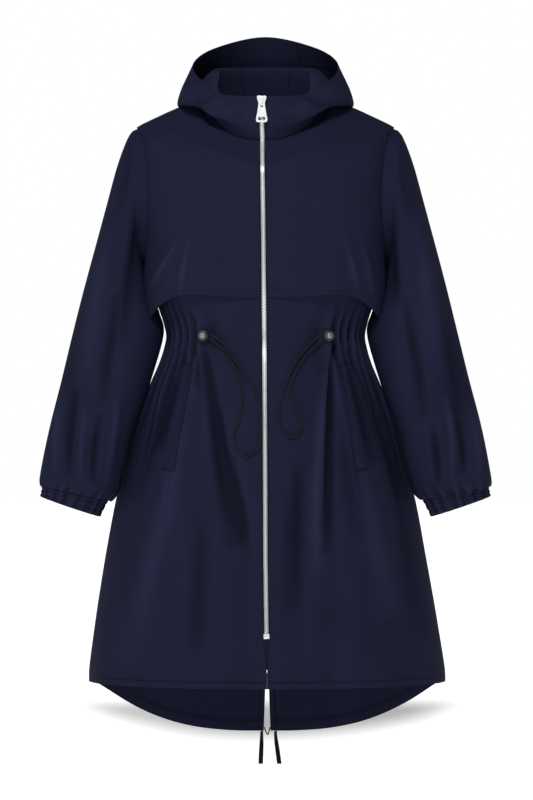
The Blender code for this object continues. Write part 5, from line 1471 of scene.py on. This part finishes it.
def level_run(panel, side, level, shares, inside=False):
    """A stitch line round a panel at one level."""
    points = panel_grid(panel, side, np.array([level - 0.05, level, level + 0.05]), shares)[0]
    normals = grid_normals(points, 1.0 if panel.front else -1.0)
    away = -CLOTH - PROUD if inside else PROUD
    return lean(mirrored(points[1] + normals[1] * away, side))


def up_run(points, side, low, high, turn=1.0):
    """A stitch line up a panel beside the zip."""
    normals = grid_normals(points, turn)
    line = []
    for row, facing in zip(points, normals):
        y, z, *normal = [np.interp(ZIP_SEAM_X, row[:, 0], column) for column in
                         (row[:, 1], row[:, 2], *facing.T)]
        if low <= z <= high:
            line.append(np.array([ZIP_SEAM_X, y, z]) + np.array(normal) * PROUD)
    return lean(mirrored(np.array(line), side))


runs = []
wide = np.linspace(0.02, 0.995, 60)
for _, side in SIDES:
    runs.append(level_run(FRONT, side, 0.5, wide))
    runs.append(level_run(BACK, side, 0.8, wide))
    runs.append(level_run(BACK, side, 0.8, wide, inside=True))
    points = panel_grid(FRONT, side, PANEL_LEVELS, np.linspace(0.0, 0.2, 12))[0]
    runs.append(up_run(points, side, -0.877, -0.300))
    flap = flap_points[side]
    runs.append(up_run(flap, side, -0.290, -0.050, turn=-1.0))
    edge = flap + grid_normals(flap, -1.0) * PROUD
    runs.append(lean(mirrored(edge[FLAP_STITCH_ROW], side)))
stitches = grown("stitching", runs, stitch_tree, {
    "Pitch": STITCH_PITCH, "Stitch length": STITCH_LENGTH, "Thread": THREAD_SIZE,
    "Material": thread})
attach(stitches, "coat")

# Studio
# A wide, plain, pale floor that glows evenly but for a painted shadow behind the hem, dimmed into
# its glow, a plain white ground beyond it, and soft light from above in front.
FLOOR_Z = -1.068
FLOOR_HALF = 14.0
FLOOR_GLOW = 0.95
# The painted shadow: how much of the floor's glow it takes away, and how its front edge bows round the
# coat
PAINTED_SHADOW_DARK = 0.72
PAINTED_SHADOW_BOW = 3.8
WORLD_STRENGTH = 0.22
sweep = bmesh.new()
corners = [sweep.verts.new((x, y, FLOOR_Z)) for x, y in
           ((-FLOOR_HALF, -FLOOR_HALF), (FLOOR_HALF, -FLOOR_HALF), (FLOOR_HALF, FLOOR_HALF),
            (-FLOOR_HALF, FLOOR_HALF))]
sweep.faces.new(corners)
mesh = bpy.data.meshes.new("floor")
sweep.to_mesh(mesh)
sweep.free()
floor_paint, tree, shader = new_material("pale floor", (0.90, 0.90, 0.90, 1.0), 0.9,
                                         Specular_IOR_Level=0.1)
place = node(tree, "ShaderNodeSeparateXYZ",
             {"Vector": node(tree, "ShaderNodeTexCoord").outputs["Object"]}).outputs
# The painted shadow: a soft patch behind the hem, fading to the sides and further back, where the
# floor's glow is dimmed
bow = math_node(tree, "MULTIPLY", math_node(tree, "MULTIPLY", place["X"], place["X"]), PAINTED_SHADOW_BOW)
behind = math_node(tree, "SUBTRACT", place["Y"], bow)
across = math_node(tree, "ABSOLUTE", place["X"])
painted_shade = ranged(tree, behind, 0.46, 0.90, interpolation_type="SMOOTHSTEP")
for value, start, end in ((across, 0.26, 0.56), (place["Y"], 1.15, 1.55)):
    fade = ranged(tree, value, start, end, 1.0, 0.0, interpolation_type="SMOOTHSTEP")
    painted_shade = math_node(tree, "MULTIPLY", painted_shade, fade)
glow_under_painted_shadow = math_node(tree, "SUBTRACT", FLOOR_GLOW, math_node(tree, "MULTIPLY", painted_shade, PAINTED_SHADOW_DARK))
shader.inputs["Emission Color"].default_value = (1.0, 1.0, 1.0, 1.0)
tree.links.new(glow_under_painted_shadow, shader.inputs["Emission Strength"])
mesh.materials.append(floor_paint)
linked("floor", mesh)

world = bpy.data.worlds.new("studio")
bpy.context.scene.world = world
world.use_nodes = True
tree = world.node_tree
background = tree.nodes["Background"].inputs
background["Color"].default_value = (1.0, 1.0, 1.0, 1.0)
seen = node(tree, "ShaderNodeLightPath").outputs["Is Camera Ray"]
tree.links.new(ranged(tree, seen, 0.0, 1.0, WORLD_STRENGTH, 1.0), background["Strength"])
for name, place, target, size, power in (
        ("key", (-0.35, -1.9, 1.7), (0.0, 0.0, -0.35), 0.8, 50.0),
        ("front", (1.3, -4.2, -0.2), (0.0, 0.0, -0.50), 1.2, 6.0),
        ("side", (-2.6, -1.5, 0.5), (0.0, 0.0, -0.50), 1.0, 10.0)):
    lamp = bpy.data.lights.new(name, "AREA")
    lamp.shape = "DISK"
    lamp.size = size
    lamp.energy = power
    item = linked(name, lamp)
    item.location = place
    item.rotation_euler = (Vector(target) - Vector(place)).to_track_quat("-Z", "Y").to_euler()
